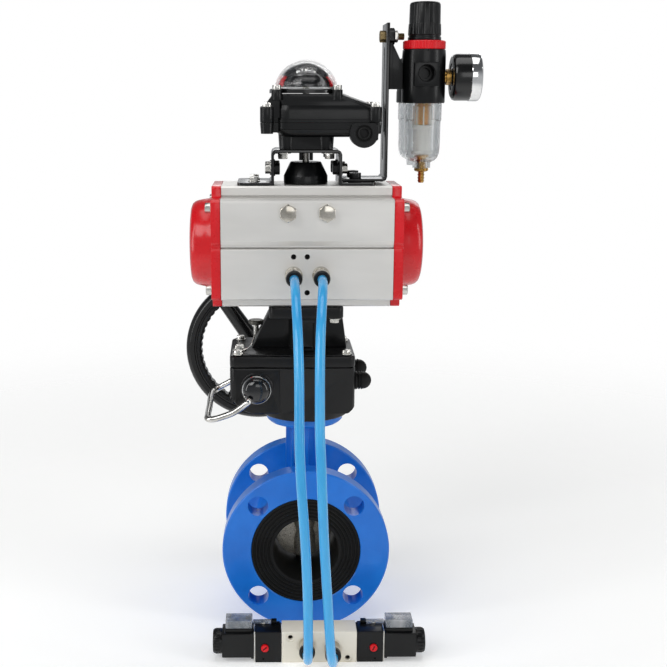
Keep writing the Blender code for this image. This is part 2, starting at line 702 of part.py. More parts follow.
def build_manual_drive():
    axis = (WORM_X, 0, WORM_Z)
    shaft_front, shaft_back = -50.5, WHEEL_Y + WHEEL_T / 2
    crests = []
    count = int(2 * WORM_HALF / WORM_PITCH)
    for i in range(count):
        top = WORM_HALF - i * WORM_PITCH
        crests += [(WORM_ROOT_R, top), (WORM_R, top - WORM_PITCH * 0.35), (WORM_R, top - WORM_PITCH * 0.65)]
    profile = [(0, shaft_back), (WORM_SHAFT_R, shaft_back), (WORM_SHAFT_R, WORM_HALF), *crests,
               (WORM_ROOT_R, WORM_HALF - count * WORM_PITCH), (WORM_SHAFT_R, WORM_HALF - count * WORM_PITCH),
               (WORM_SHAFT_R, shaft_front), (0, shaft_front)]
    turned("worm_shaft", profile, axis, "steel", "Y", 20)

    mid_r = WHEEL_R - WHEEL_RIM_W / 2
    rim = [(mid_r + WHEEL_RIM_W / 2 * math.cos(a), WHEEL_Y + WHEEL_T / 2 * math.sin(a))
           for a in [math.radians(67.5 - 45 * i) for i in range(8)]]
    wheel = turned("handwheel", rim, axis, "black_plastic", "Y", 28)

    def hub(bm):
        rod(bm, (WORM_X, WHEEL_Y - 13, WORM_Z), (WORM_X, WHEEL_Y + WHEEL_T / 2, WORM_Z), 15)

    def spoke(bm, angle):
        way = Vector((math.cos(math.radians(angle)), 0, math.sin(math.radians(angle))))
        centre = Vector((WORM_X, WHEEL_Y, WORM_Z))
        rod(bm, centre + way * 10, centre + way * (mid_r - 1), SPOKE_R, sides=12)

    def bore(bm):
        rod(bm, (WORM_X, WHEEL_Y - 25, WORM_Z), (WORM_X, WHEEL_Y + 25, WORM_Z), WORM_SHAFT_R + GAP)

    join(wheel, hub, "hub")
    for angle in SPOKE_ANGLES:
        join(wheel, lambda bm, angle=angle: spoke(bm, angle), f"spoke_{angle:.0f}")
    cut(wheel, bore, "bore")


def build_declutch():
    axis = (WORM_X, 0, WORM_Z)
    inner = WORM_SHAFT_R + RUN
    turned("declutch_cap", [
        (0, -50.8), (inner, -50.8), (inner, -33), (SLEEVE_R, -33), (SLEEVE_R, HOUSING_FRONT - GAP),
        (CAP_R, HOUSING_FRONT - GAP), (CAP_R, -52), (9.5, -56.5), (4.5, -59), (0, CAP_FRONT)],
        axis, "black_plastic", "Y", 28)
    eye = (WORM_X - 4.0, LEVER_FRONT_Y, WORM_Z - 4.5)
    corner = (-89.0, LEVER_FRONT_Y + 5, 204.5)
    back_corner = (-88.0, LEVER_BACK_Y - 4, 204.0)
    eye_r = WORM_SHAFT_R + RUN + LEVER_WIRE_R
    back_eye = [(x, LEVER_BACK_Y, z) for x, z in arc((WORM_X, WORM_Z), eye_r, 215, 395, 8)]
    points = [eye, (-57, LEVER_FRONT_Y, 217.5), (-66, LEVER_FRONT_Y, 211.5), (-82, LEVER_FRONT_Y + 1, 205.5),
              (-86.5, LEVER_FRONT_Y + 2.5, 204.5), corner, (-89.5, LEVER_FRONT_Y + 12, 204.5),
              (-89.5, LEVER_BACK_Y - 12, 204.0), back_corner, (-84, LEVER_BACK_Y, 206.0),
              (-74, LEVER_BACK_Y, 211.5), *back_eye]
    wire("declutch_lever", points, LEVER_WIRE_R, "chrome", axis)


# ---------------------------------------------------------------- actuator


def actuator_outline():
    top, bottom = ACT_Z + ACT_HALF_H, ACT_Z - ACT_HALF_H
    panel_top, panel_low = top - STRIP_H, bottom + STRIP_H

    def side(y_panel, y_strip, sign):
        y_groove = y_panel - sign * GROOVE_D
        return [(y_strip, top), (y_strip, panel_top + 1), (y_panel - sign * 2, panel_top),
                (y_panel, panel_top - 2), (y_panel, GROOVE_TOP + 1.5), (y_groove, GROOVE_TOP),
                (y_groove, GROOVE_LOW + 1), (y_panel, GROOVE_LOW), (y_panel, panel_low + 1),
                (y_panel - sign, panel_low), (y_strip, panel_low - 1), (y_strip, bottom)]

    back = side(ACT_BACK, STRIP_HALF_Y, 1)
    front = side(ACT_FRONT, -STRIP_HALF_Y, -1)
    return back + front[::-1]


def build_actuator():
    top, bottom = ACT_Z + ACT_HALF_H, ACT_Z - ACT_HALF_H

    def extrusion(bm):
        prism(bm, "X", actuator_outline(), -ACT_HALF_L, ACT_HALF_L)


    def cylinder(bm):
        rod(bm, (-ACT_HALF_L - 5, 0, ACT_Z), (ACT_HALF_L + 5, 0, ACT_Z), CYLINDER_R, sides=32)

    def pinion_bore(bm):
        rod(bm, (0, 0, bottom - 5), (0, 0, top + 5), JOURNAL_R + 0.1, sides=32)

    def ports(bm):
        for x in (-PORT_HALF, PORT_HALF):
            rod(bm, (x, ACT_FRONT - 5, PORT_Z), (x, ACT_FRONT + 12, PORT_Z), PORT_R, sides=16)
        for x, z in NAMUR_SCREWS:
            rod(bm, (x, ACT_FRONT - 5, PORT_Z + z), (x, ACT_FRONT + NAMUR_SCREW_DEPTH, PORT_Z + z),
                NAMUR_SCREW_R, sides=10)

    def stop_holes(bm):
        for x in (-TRAVEL_STOP_X, TRAVEL_STOP_X):
            rod(bm, (x, ACT_FRONT - 5, TRAVEL_STOP_Z), (x, TRAVEL_STOP_IN + 1, TRAVEL_STOP_Z),
                TRAVEL_STOP_R + GAP, sides=16)

    body = solid("actuator_body", extrusion, "anodised")
    cut(body, cylinder, "cylinder")
    cut(body, pinion_bore, "pinion_bore")
    cut(body, ports, "ports")
    cut(body, stop_holes, "stop_holes")

    for name, side in (("end_cap_left", -1), ("end_cap_right", 1)):
        inner = ACT_HALF_L + GAP
        plate_out = inner + CAP_PLATE_T

        def plate(bm, side=side, inner=inner, plate_out=plate_out):
            outline = actuator_outline()
            prism(bm, "X", outline, min(side * inner, side * plate_out), max(side * inner, side * plate_out))

        def drum(bm, side=side, plate_out=plate_out):
            levels = [(plate_out - 3, END_CAP_R), (plate_out + 8, END_CAP_R - 0.5),
                      (END_CAP_OUT - 3, END_CAP_R - 3.5), (END_CAP_OUT, END_CAP_R - 8)]
            loft(bm, "X", [(side * x, arc((0, ACT_Z), r, 0, 345, 23)) for x, r in levels])

        def hollow(bm, side=side, inner=inner):
            rod(bm, (side * (inner - 5), 0, ACT_Z), (side * (END_CAP_OUT - 5), 0, ACT_Z),
                END_CAP_HOLLOW_R, END_CAP_HOLLOW_R - 6)

        piece = solid(name, plate, "red_paint")
        join(piece, drum, "drum")
        cut(piece, hollow, "hollow")

    for name, x in (("travel_stop_left", -TRAVEL_STOP_X), ("travel_stop_right", TRAVEL_STOP_X)):
        def bolt(bm, x=x):
            rod(bm, (x, ACT_FRONT - 8, TRAVEL_STOP_Z), (x, ACT_FRONT - GAP, TRAVEL_STOP_Z),
                TRAVEL_HEAD_R, sides=6)

        def shank(bm, x=x):
            rod(bm, (x, ACT_FRONT - 2, TRAVEL_STOP_Z), (x, TRAVEL_STOP_IN, TRAVEL_STOP_Z),
                TRAVEL_STOP_R, sides=16)

        piece = solid(name, bolt, "steel")
        join(piece, shank, "shank")

    for name, x in (("port_fitting_left", -PORT_HALF), ("port_fitting_right", PORT_HALF)):
        hole = TUBE_R + GAP
        turned(name, [
            (hole, ACT_FRONT + 9), (PORT_R - GAP, ACT_FRONT + 9), (PORT_R - GAP, ACT_FRONT - GAP),
            (COLLAR_R + 0.8, ACT_FRONT - GAP), (COLLAR_R + 0.8, ACT_FRONT - 14), (COLLAR_R, ACT_FRONT - 15),
            (COLLAR_R, PORT_MOUTH_Y), (hole, PORT_MOUTH_Y)], (x, 0, PORT_Z), "chrome", "Y", 20)

    pitch = math.pi * MODULE
    pitch_r = MODULE * TEETH / 2
    tip, root = pitch_r - 0.9 * MODULE, pitch_r + 1.25 * MODULE
    half = (pitch / 2 - BACKLASH / 2) / 2
    tip_half = half - 0.9 * MODULE * math.tan(PRESSURE)
    root_half = half + 1.25 * MODULE * math.tan(PRESSURE)
    for name, side in (("piston_left", -1), ("piston_right", 1)):
        def disc(bm, side=side):
            rod(bm, (side * PISTON_IN, 0, ACT_Z), (side * (PISTON_IN + PISTON_T), 0, ACT_Z),
                CYLINDER_R - PISTON_CLEAR, sides=32)

        def rack(bm, side=side):
            teeth = []
            for i in RACK_TEETH:
                middle = i * pitch
                teeth += [(middle - root_half, root), (middle - tip_half, tip),
                          (middle + tip_half, tip), (middle + root_half, root)]
            back = root + RACK_DEPTH
            inner = -PISTON_IN - 2
            outline = [*teeth, (RACK_TIP, root), (RACK_TIP, back), (inner, back), (inner, root)]
            turned_round = [(-side * x, -side * y) for x, y in outline]
            prism(bm, "Z", turned_round, ACT_Z - RACK_HALF_H, ACT_Z + RACK_HALF_H)

        piece = solid(name, disc, "anodised", (side * PISTON_IN, 0, ACT_Z))
        join(piece, rack, "rack")


# ---------------------------------------------------------------- position box


def build_position_box():
    foot = ACT_Z + ACT_HALF_H + GAP
    inside = BRACKET_HALF - SHEET

    def bent_sheet(bm):
        right = [(BRACKET_FOOT_X, foot), (BRACKET_FOOT_X, foot + SHEET), (BRACKET_HALF, foot + SHEET),
                 (BRACKET_HALF, BRACKET_TOP - 2), (BRACKET_HALF - 2, BRACKET_TOP)]
        under = [(inside, foot), (inside, BRACKET_TOP - SHEET)]
        left = [(-x, z) for x, z in reversed(right)]
        outline = right + left + [(-x, z) for x, z in under] + list(reversed(under))
        prism(bm, "Y", outline, -BRACKET_HALF_Y, BRACKET_HALF_Y)

    def shaft_hole(bm):
        rod(bm, (0, 0, BRACKET_TOP - 10), (0, 0, BRACKET_TOP + 5), 6, sides=20)

    bracket = solid("indicator_bracket", bent_sheet, "black_paint")
    cut(bracket, shaft_hole, "shaft_hole")

    low = BOX_LOW
    seat = BRACKET_TOP + GAP
    corner = 12.0

    def tray(bm):
        outline = rounded_rectangle((BOX_LEFT, -BOX_HALF_Y), (BOX_RIGHT, BOX_HALF_Y), corner)
        prism(bm, "Z", outline, low, BOX_SEAM)

    def feet(bm):
        block(bm, (-BOX_FOOT_X, -BOX_FOOT_Y, seat), (BOX_FOOT_X, BOX_FOOT_Y, low + 1))

    def gland_boss(bm):
        rod(bm, (GLAND_X, -BOX_HALF_Y - 4, GLAND_Z), (GLAND_X, -BOX_HALF_Y + 12, GLAND_Z), GLAND_R)

    def trim(bm):
        block(bm, (GLAND_X - 20, -BOX_HALF_Y - 6, BOX_SEAM), (GLAND_X + 20, -BOX_HALF_Y + 14, BOX_SEAM + 10))

    def cavity(bm):
        outline = rounded_rectangle((BOX_LEFT + BOX_WALL, -BOX_HALF_Y + BOX_WALL),
                                    (BOX_RIGHT - BOX_WALL, BOX_HALF_Y - BOX_WALL), corner - BOX_WALL)
        prism(bm, "Z", outline, low + BOX_WALL + 1, BOX_SEAM + 5)

    def shaft(bm):
        rod(bm, (0, 0, seat - 5), (0, 0, low + 10), INDICATOR_SHAFT_R + RUN, sides=16)

    def gland_hole(bm):
        rod(bm, (GLAND_X, -BOX_HALF_Y - 8, GLAND_Z), (GLAND_X, -BOX_HALF_Y + BOX_WALL + 2, GLAND_Z),
            GLAND_HOLE_R)

    base = solid("switch_box_base", tray, "black_plastic")
    join(base, feet, "feet")
    join(base, gland_boss, "gland_boss")
    cut(base, trim, "trim")
    cut(base, cavity, "cavity")
    cut(base, shaft, "shaft_hole")
    cut(base, gland_hole, "gland_hole")

    cover_low = BOX_SEAM + GAP

    def cover(bm):
        skirt = rounded_rectangle((BOX_LEFT, -BOX_HALF_Y), (BOX_RIGHT, BOX_HALF_Y), corner)
        top = rounded_rectangle((-DOME_RING_R - 1, -DOME_RING_R + 1), (DOME_RING_R + 3, DOME_RING_R - 1),
                                corner)
        loft(bm, "Z", [(cover_low, skirt), (BOX_RIM, skirt), (BOX_TOP, top)])

    def cover_cavity(bm):
        skirt = rounded_rectangle((BOX_LEFT + BOX_WALL, -BOX_HALF_Y + BOX_WALL),
                                  (BOX_RIGHT - BOX_WALL, BOX_HALF_Y - BOX_WALL), corner - BOX_WALL)
        top = rounded_rectangle((-DOME_RING_R + 4, -DOME_RING_R + 5), (DOME_RING_R - 2, DOME_RING_R - 5),
                                corner - BOX_WALL)
        loft(bm, "Z", [(cover_low - 5, skirt), (BOX_RIM - 3, skirt), (BOX_TOP - BOX_WALL, top)])

    def cover_hole(bm):
        rod(bm, (0, 0, BOX_TOP - 10), (0, 0, BOX_TOP + 5), INDICATOR_SHAFT_R + RUN, sides=16)

    lid = solid("switch_box_cover", cover, "black_plastic")
    cut(lid, cover_cavity, "cavity")
    cut(lid, cover_hole, "shaft_hole")

    ring_low = BOX_TOP + GAP
    steps = 5
    ring_angle = math.degrees(math.asin(DOME_RING_T / DOME_R))
    outer = [(DOME_R * math.cos(a), ring_low + DOME_R * math.sin(a))
             for a in [math.radians(90 - (90 - ring_angle) * i / steps) for i in range(steps + 1)]]
    inner_r = DOME_R - DOME_WALL
    inner = [(inner_r * math.cos(a), ring_low + inner_r * math.sin(a))
             for a in [math.radians(90 * i / steps) for i in range(steps + 1)]]
    outer[0], inner[-1] = (0, ring_low + DOME_R), (0, ring_low + inner_r)
    turned("indicator_dome", [*outer, (DOME_RING_R, ring_low + DOME_RING_T), (DOME_RING_R, ring_low), *inner],
           (0, 0, 0), "clear", "Z", 24)

    switch_low = low + BOX_WALL + 1 + GAP

    def switches(bm):
        block(bm, (CAM_R + CAM_LOBE + 2, -8, switch_low), (CAM_R + CAM_LOBE + 22, 8, BOX_RIM - 4))

    solid("limit_switches", switches, "black_plastic")


# ---------------------------------------------------------------- air service unit


def build_air_set():
    foot = ACT_Z + ACT_HALF_H + SHEET + 2 * GAP
    back = POST_X + SHEET

    def bent_strip(bm):
        outline = [(POST_FOOT_X, foot), (back - 3, foot), (back, foot + 3), (back, POST_TOP),
                   (POST_X, POST_TOP), (POST_X, foot + SHEET), (POST_FOOT_X, foot + SHEET)]
        prism(bm, "Y", outline, -POST_HALF_Y, POST_HALF_Y)

    def slot(bm):
        block(bm, (POST_X - 5, -SLOT_HALF, SLOT_LOW), (back + 5, SLOT_HALF, SLOT_TOP))

    def stud_hole(bm):
        rod(bm, (POST_X - 5, 0, STUD_Z), (back + 5, 0, STUD_Z), STUD_R + GAP, sides=16)

    post = solid("air_set_post", bent_strip, "black_paint")
    cut(post, slot, "slot")
    cut(post, stud_hole, "stud_hole")

    plate_x = back + GAP
    reach = AIR_X - REG_R - GAP

    def bracket_web(bm):
        outline = [(plate_x, PLATE_LOW), (reach, PLATE_LOW), (reach, WEB_TOP),
                   (plate_x + SHEET + 1, PLATE_TOP), (plate_x, PLATE_TOP)]
        prism(bm, "Y", outline, -SHEET / 2, SHEET / 2)

    def bracket_flange(bm):
        block(bm, (plate_x, -POST_HALF_Y + 2, PLATE_LOW), (plate_x + SHEET, POST_HALF_Y - 2, PLATE_TOP))

    bracket = solid("air_set_bracket", bracket_web, "black_paint")
    join(bracket, bracket_flange, "flange")

    axis = (AIR_X, 0, 0)
    regulator = turned("regulator_body", [
        (0, COLLAR_RING_TOP), (COLLAR_RING_R, COLLAR_RING_TOP), (COLLAR_RING_R, REG_TOP + 0.5),
        (REG_R, REG_TOP), (REG_R, REG_LOW), (BOWL_R + GAP, REG_LOW), (BOWL_R + GAP, REG_LOW + BOWL_IN),
        (0, REG_LOW + BOWL_IN)], axis, "black_plastic", "Z", 24)

    def inlet_boss(bm):
        block(bm, (AIR_X - INLET_HALF, INLET_FACE, INLET_Z - INLET_HALF),
              (AIR_X + INLET_HALF, 0, INLET_Z + INLET_HALF))

    def link_block(bm):
        block(bm, (AIR_X - 11, 5, INLET_Z - 11), (AIR_X + 11, LUB_Y - LUB_R - GAP + 1.2, INLET_Z + 11))

    def inlet_hole(bm):
        rod(bm, (AIR_X, INLET_FACE - 5, INLET_Z), (AIR_X, INLET_FACE + 12, INLET_Z), INLET_HOLE_R)

    def knob_socket(bm):
        rod(bm, (AIR_X, 0, REG_TOP - 12), (AIR_X, 0, COLLAR_RING_TOP + 5), 5 + RUN, sides=16)

    def gauge_hole(bm):
        rod(bm, (AIR_X + 8, 0, GAUGE_Z), (AIR_X + REG_R + 5, 0, GAUGE_Z), 5 + GAP, sides=16)

    join(regulator, inlet_boss, "inlet")
    join(regulator, link_block, "link")
    cut(regulator, inlet_hole, "inlet_hole")
    cut(regulator, knob_socket, "knob_socket")
    cut(regulator, gauge_hole, "gauge_hole")

    knob_low = COLLAR_RING_TOP + GAP
    turned("regulator_knob", [
        (0, KNOB_TOP), (KNOB_R - 2, KNOB_TOP), (KNOB_R, KNOB_TOP - 2), (KNOB_R + 0.6, knob_low + 10),
        (KNOB_R, knob_low), (5, knob_low), (5, REG_TOP - 10), (0, REG_TOP - 10)],
        axis, "black_plastic", "Z", 24)

    bowl_top = REG_LOW + BOWL_IN - GAP
    r, w = BOWL_R, BOWL_WALL
    outside = [(r - w, bowl_top), (r, bowl_top), (r, BOWL_LOW + 9), (r - 3, BOWL_LOW + 3), (r - 8, BOWL_LOW),
               (8, BOWL_LOW), (8, BOWL_LOW - 5)]
    inside = [(r - 9, BOWL_LOW + w), (r - w - 2, BOWL_LOW + w + 3), (r - w, BOWL_LOW + 10)]
    drain_hole = [(4 + GAP, BOWL_LOW - 5), (4 + GAP, BOWL_LOW + w)]
    turned("filter_bowl", outside + drain_hole + inside, axis, "clear", "Z", 20)
    turned("lubricator_bowl", [(0, BOWL_LOW + w), *inside, *outside, (0, BOWL_LOW - 5)], (AIR_X, LUB_Y, 0),
           "clear", "Z", 20)

    low = ELEMENT_LOW
    turned("filter_element", [
        (0, bowl_top), (ELEMENT_R, bowl_top), (ELEMENT_R, low), (9, low - 2), (9, low - 5), (3, low - 6),
        (0, low - 6)], axis, "amber", "Z", 20)
    low = BOWL_LOW
    turned("drain_cock", [
        (0, low + 4), (4, low + 4), (4, low - 5.5), (6, low - 5.5), (6, low - 9), (3, low - 10),
        (3, DRAIN_LOW), (0, DRAIN_LOW)], axis, "brass", "Z", 16)

    skirt_r = LUB_R + 1.5
    lubricator = turned("lubricator_body", [
        (0, LUB_TOP), (LUB_R - 3, LUB_TOP), (LUB_R, LUB_TOP - 4), (skirt_r, REG_LOW + 10), (skirt_r, REG_LOW),
        (BOWL_R + GAP, REG_LOW), (BOWL_R + GAP, REG_LOW + BOWL_IN), (0, REG_LOW + BOWL_IN)],
        (AIR_X, LUB_Y, 0), "black_plastic", "Z", 24)

    def link_flat(bm):
        block(bm, (AIR_X - 12, 0, INLET_Z - 12), (AIR_X + 12, LUB_Y - LUB_R + 1.6, INLET_Z + 12))

    def outlet(bm):
        block(bm, (AIR_X - 11, LUB_Y, INLET_Z - 11), (AIR_X + 11, LUB_Y + LUB_R + 5, INLET_Z + 11))

    def outlet_hole(bm):
        rod(bm, (AIR_X, LUB_Y + 8, INLET_Z), (AIR_X, LUB_Y + LUB_R + 12, INLET_Z), INLET_HOLE_R - 1.5)

    def dial_hole(bm):
        rod(bm, (AIR_X, LUB_Y, LUB_TOP - 8), (AIR_X, LUB_Y, LUB_TOP + 5), 4 + RUN, sides=16)

    cut(lubricator, link_flat, "link_flat")
    join(lubricator, outlet, "outlet")
    cut(lubricator, outlet_hole, "outlet_hole")
    cut(lubricator, dial_hole, "dial_hole")
    turned("oil_drip_knob", [
        (0, LUB_TOP + 10), (6, LUB_TOP + 10), (8, LUB_TOP + 8), (8, LUB_TOP + GAP), (4, LUB_TOP + GAP),
        (4, LUB_TOP - 7), (0, LUB_TOP - 7)], (AIR_X, LUB_Y, 0), "black_plastic", "Z", 16)

    # Pressure gauge
    gauge = (0, 0, GAUGE_Z)
    face = GAUGE_BEZEL + 1
    rim = GAUGE_R - 2
    turned("gauge_case", [
        (0, face), (rim, face), (rim, GAUGE_FRONT), (GAUGE_R, GAUGE_FRONT - 1), (GAUGE_R, GAUGE_BEZEL),
        (GAUGE_R - 0.5, GAUGE_BACK + 2), (GAUGE_R - 2.5, GAUGE_BACK), (0, GAUGE_BACK)],
        gauge, "black_paint", "X", 24)
    stem_in, stem_out = AIR_X + 10, GAUGE_BACK - GAP

    def stem(bm):
        rod(bm, (stem_in, 0, GAUGE_Z), (stem_out, 0, GAUGE_Z), 5, sides=16)

    def stem_hex(bm):
        rod(bm, (AIR_X + REG_R + GAP, 0, GAUGE_Z), (stem_out, 0, GAUGE_Z), 6.5, sides=6)

    join(solid("gauge_stem", stem, "brass"), stem_hex, "hex")

    def needle(bm):
        lowest, highest = face + GAP, face + 2.2
        start = math.radians(225)
        way = Vector((math.cos(start), math.sin(start)))
        across = Vector((-math.sin(start), math.cos(start)))
        tail, tip = way * -5, way * 15
        outline = [tail + across * 0.9, tail - across * 0.9, tip - across * 0.35, tip + across * 0.35]
        prism(bm, "X", [(p.x, p.y + GAUGE_Z) for p in outline], lowest + 0.4, highest)

    def needle_hub(bm):
        rod(bm, (face + GAP, 0, GAUGE_Z), (face + 3, 0, GAUGE_Z), 2.2, sides=12)

    pointer = solid("gauge_needle", needle, "black_paint", (face, 0, GAUGE_Z))
    join(pointer, needle_hub, "hub")


# ---------------------------------------------------------------- solenoid air valve


def build_solenoid_valve():
    spool_y = (SOL_FRONT + SOL_BACK) / 2 + SPOOL_BACK
    spool_z = SOL_TOP / 2

    def body(bm):
        block(bm, (SOL_LEFT, SOL_FRONT, 0), (SOL_RIGHT, SOL_BACK, SOL_TOP))

    def ports(bm):
        for x, z in SOL_PORTS:
            rod(bm, (x, SOL_FRONT - 5, z), (x, SOL_FRONT + 7, z), SOL_PORT_R, sides=16)

    def spool_bore(bm):
        rod(bm, (SOL_LEFT - 5, spool_y, spool_z), (SOL_RIGHT + 5, spool_y, spool_z), SPOOL_R + RUN,
            sides=16)

    def mounting_holes(bm):
        for x, z in SOL_MOUNTING_HOLES:
            rod(bm, (x, SOL_FRONT - 5, z), (x, SOL_BACK + 5, z), SOL_MOUNTING_R, sides=10)

    valve = solid("solenoid_valve_body", body, "cream_paint")
    cut(valve, ports, "ports")
    cut(valve, spool_bore, "spool_bore")
    cut(valve, mounting_holes, "mounting_holes")

    def spool(bm):
        short = SPOOL_TRAVEL + GAP
        rod(bm, (SOL_LEFT + short, spool_y, spool_z), (SOL_RIGHT - short, spool_y, spool_z), SPOOL_R,
            sides=16)

    solid("valve_spool", spool, "steel", (0, spool_y, spool_z))

    for side, label in ((-1, "left"), (1, "right")):
        start = SOL_RIGHT if side > 0 else -SOL_LEFT
        head_in = start + GAP
        head_out = head_in + HEAD_W
        coil_in = head_out + GAP
        coil_out = coil_in + COIL_W
        nut_out = coil_out + COIL_NUT_W
        core = ((SOL_FRONT + SOL_BACK) / 2, (COIL_LOW + COIL_TOP) / 2)
        button_x = side * (head_in + BUTTON_IN)

        def head(bm, side=side, a=head_in, b=head_out):
            block(bm, (side * a, SOL_FRONT + 0.5, 0), (side * b, SOL_BACK - 0.5, HEAD_TOP))

        def button_hole(bm, x=button_x):
            rod(bm, (x, SOL_FRONT - 5, BUTTON_Z), (x, SOL_FRONT + 8, BUTTON_Z), BUTTON_R + GAP, sides=16)

        def coil(bm, side=side, a=coil_in, b=coil_out):
            block(bm, (side * a, SOL_FRONT + 0.5, COIL_LOW), (side * b, SOL_BACK - 0.5, COIL_TOP))

        def nut(bm, a=side * (coil_out - 1), b=side * nut_out, core=core):
            rod(bm, (a, *core), (b, *core), COIL_NUT_R, sides=16)

        def connector(bm, side=side, a=coil_in + 1, b=coil_out - 3):
            block(bm, (side * a, SOL_FRONT + 4, COIL_TOP - 1), (side * b, SOL_BACK - 2, CONNECTOR_TOP))

        def button(bm, x=button_x):
            rod(bm, (x, SOL_FRONT + 0.5 - BUTTON_PROUD, BUTTON_Z), (x, SOL_FRONT + 5, BUTTON_Z),
                BUTTON_R, sides=16)

        piece = solid(f"pilot_head_{label}", head, "black_plastic")
        cut(piece, button_hole, "button_hole")
        piece = solid(f"solenoid_coil_{label}", coil, "black_plastic")
        join(piece, nut, "nut")
        join(piece, connector, "connector")
        solid(f"override_button_{label}", button, "red_paint", (button_x, SOL_FRONT, BUTTON_Z))

    for name, (x, z) in zip(("valve_fitting_left", "valve_fitting_right"), SOL_PORTS):
        hole = TUBE_R + GAP
        turned(name, [
            (hole, SOL_FRONT + 6), (SOL_PORT_R - GAP, SOL_FRONT + 6), (SOL_PORT_R - GAP, SOL_FRONT - GAP),
            (COLLAR_R, SOL_FRONT - GAP), (COLLAR_R, SOL_MOUTH_Y), (hole, SOL_MOUTH_Y)],
            (x, 0, z), "chrome", "Y", 20)


def build_tubes():
    for name, points in (("air_tube_left", LEFT_TUBE), ("air_tube_right", RIGHT_TUBE)):
        wire(name, points, TUBE_R, "blue_tube")


build_valve()
build_drive()
build_gear_case()
build_manual_drive()
build_declutch()
build_actuator()
build_position_box()
build_air_set()
build_solenoid_valve()
build_tubes()
bpy.context.view_layer.update()
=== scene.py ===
"""Studio model of a pneumatically driven butterfly valve package.

Every piece is modelled with Blender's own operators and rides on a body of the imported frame.
Lengths are in millimetres from the foot of the stem axis, and `at` turns them to metres.
"""

import math

import bpy
from mathutils import Matrix, Vector


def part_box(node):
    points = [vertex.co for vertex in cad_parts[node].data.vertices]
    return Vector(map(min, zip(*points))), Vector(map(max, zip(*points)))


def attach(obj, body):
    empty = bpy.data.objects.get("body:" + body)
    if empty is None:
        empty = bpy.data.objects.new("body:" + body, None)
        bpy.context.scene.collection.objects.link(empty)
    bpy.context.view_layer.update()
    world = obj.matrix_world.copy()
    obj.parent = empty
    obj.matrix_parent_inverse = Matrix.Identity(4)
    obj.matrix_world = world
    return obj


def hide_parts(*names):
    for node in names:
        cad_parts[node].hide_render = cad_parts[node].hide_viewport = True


bl_info = {
    "name": "Actuated Butterfly Valve",
    "version": (1, 0, 0),
    "blender": (4, 5, 0),
    "location": "View3D > Sidebar > Valve",
    "description": "Models a flanged valve with its gear, pneumatic actuator, position box and air fittings",
    "category": "Object",
}

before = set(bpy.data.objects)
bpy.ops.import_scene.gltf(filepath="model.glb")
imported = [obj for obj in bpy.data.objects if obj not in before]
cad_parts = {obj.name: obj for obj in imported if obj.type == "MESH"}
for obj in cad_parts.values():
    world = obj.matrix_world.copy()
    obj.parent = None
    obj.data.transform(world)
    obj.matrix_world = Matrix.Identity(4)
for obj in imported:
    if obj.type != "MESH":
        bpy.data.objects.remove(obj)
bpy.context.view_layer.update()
MM = 0.001
STEM = (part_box("valve_stem")[0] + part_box("valve_stem")[1]) / 2


def at(x, y, z):
    """A point in metres, from millimetres measured from the foot of the stem axis."""
    return Vector((STEM.x + x * MM, STEM.y + y * MM, z * MM))


def span(node):
    """Lowest and highest corners of a frame node, in millimetres from the foot of the stem axis."""
    low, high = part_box(node)
    foot = Vector((STEM.x, STEM.y, 0))
    return (low - foot) / MM, (high - foot) / MM


# ---------------------------------------------------------------- materials


def linear(code):
    """Linear colour of an sRGB hex value."""
    parts = [int(code[i:i + 2], 16) / 255 for i in (0, 2, 4)]
    return tuple(c / 12.92 if c <= 0.04045 else ((c + 0.055) / 1.055) ** 2.4 for c in parts) + (1.0,)


def node(tree, kind, links=None, **settings):
    """Adds one node. Settings name its properties or inputs, links give an input the output it takes."""
    made = tree.nodes.new(kind)
    for key, value in settings.items():
        if hasattr(made, key):
            setattr(made, key, value)
        else:
            made.inputs[key.replace("_", " ")].default_value = value
    for socket, source in (links or {}).items():
        tree.links.new(source, made.inputs[socket])
    return made


def ramp(tree, source, stops):
    """A colour ramp over (position, hex) stops."""
    made = node(tree, "ShaderNodeValToRGB", {"Fac": source})
    points = made.color_ramp.elements
    while len(points) < len(stops):
        points.new(0.5)
    for point, (position, code) in zip(points, stops):
        point.position = position
        point.color = linear(code)
    return made.outputs["Color"]


def band(tree, source, low, high):
    """A value carried linearly from 0..1 to low..high."""
    return node(tree, "ShaderNodeMapRange", {"Value": source}, To_Min=low, To_Max=high).outputs["Result"]


def surface(name):
    """A material with its tree, shader and Object coordinates."""
    made = bpy.data.materials.new(name)
    made.use_nodes = True
    tree = made.node_tree
    shader = tree.nodes["Principled BSDF"]
    where = node(tree, "ShaderNodeTexCoord").outputs["Object"]
    return made, tree, shader, where


def noise(tree, where, millimetres, detail=3.0, stretch=(1, 1, 1)):
    """Noise whose grain is the given size, drawn out along an axis by a stretch under 1."""
    mapped = node(tree, "ShaderNodeMapping", {"Vector": where})
    mapped.inputs["Scale"].default_value = stretch
    return node(tree, "ShaderNodeTexNoise", {"Vector": mapped.outputs["Vector"]},
                Scale=1 / (millimetres * MM), Detail=detail).outputs["Fac"]


def bump(tree, shader, height, strength, millimetres):
    made = node(tree, "ShaderNodeBump", {"Height": height}, Strength=strength, Distance=millimetres * MM)
    tree.links.new(made.outputs["Normal"], shader.inputs["Normal"])
    return made


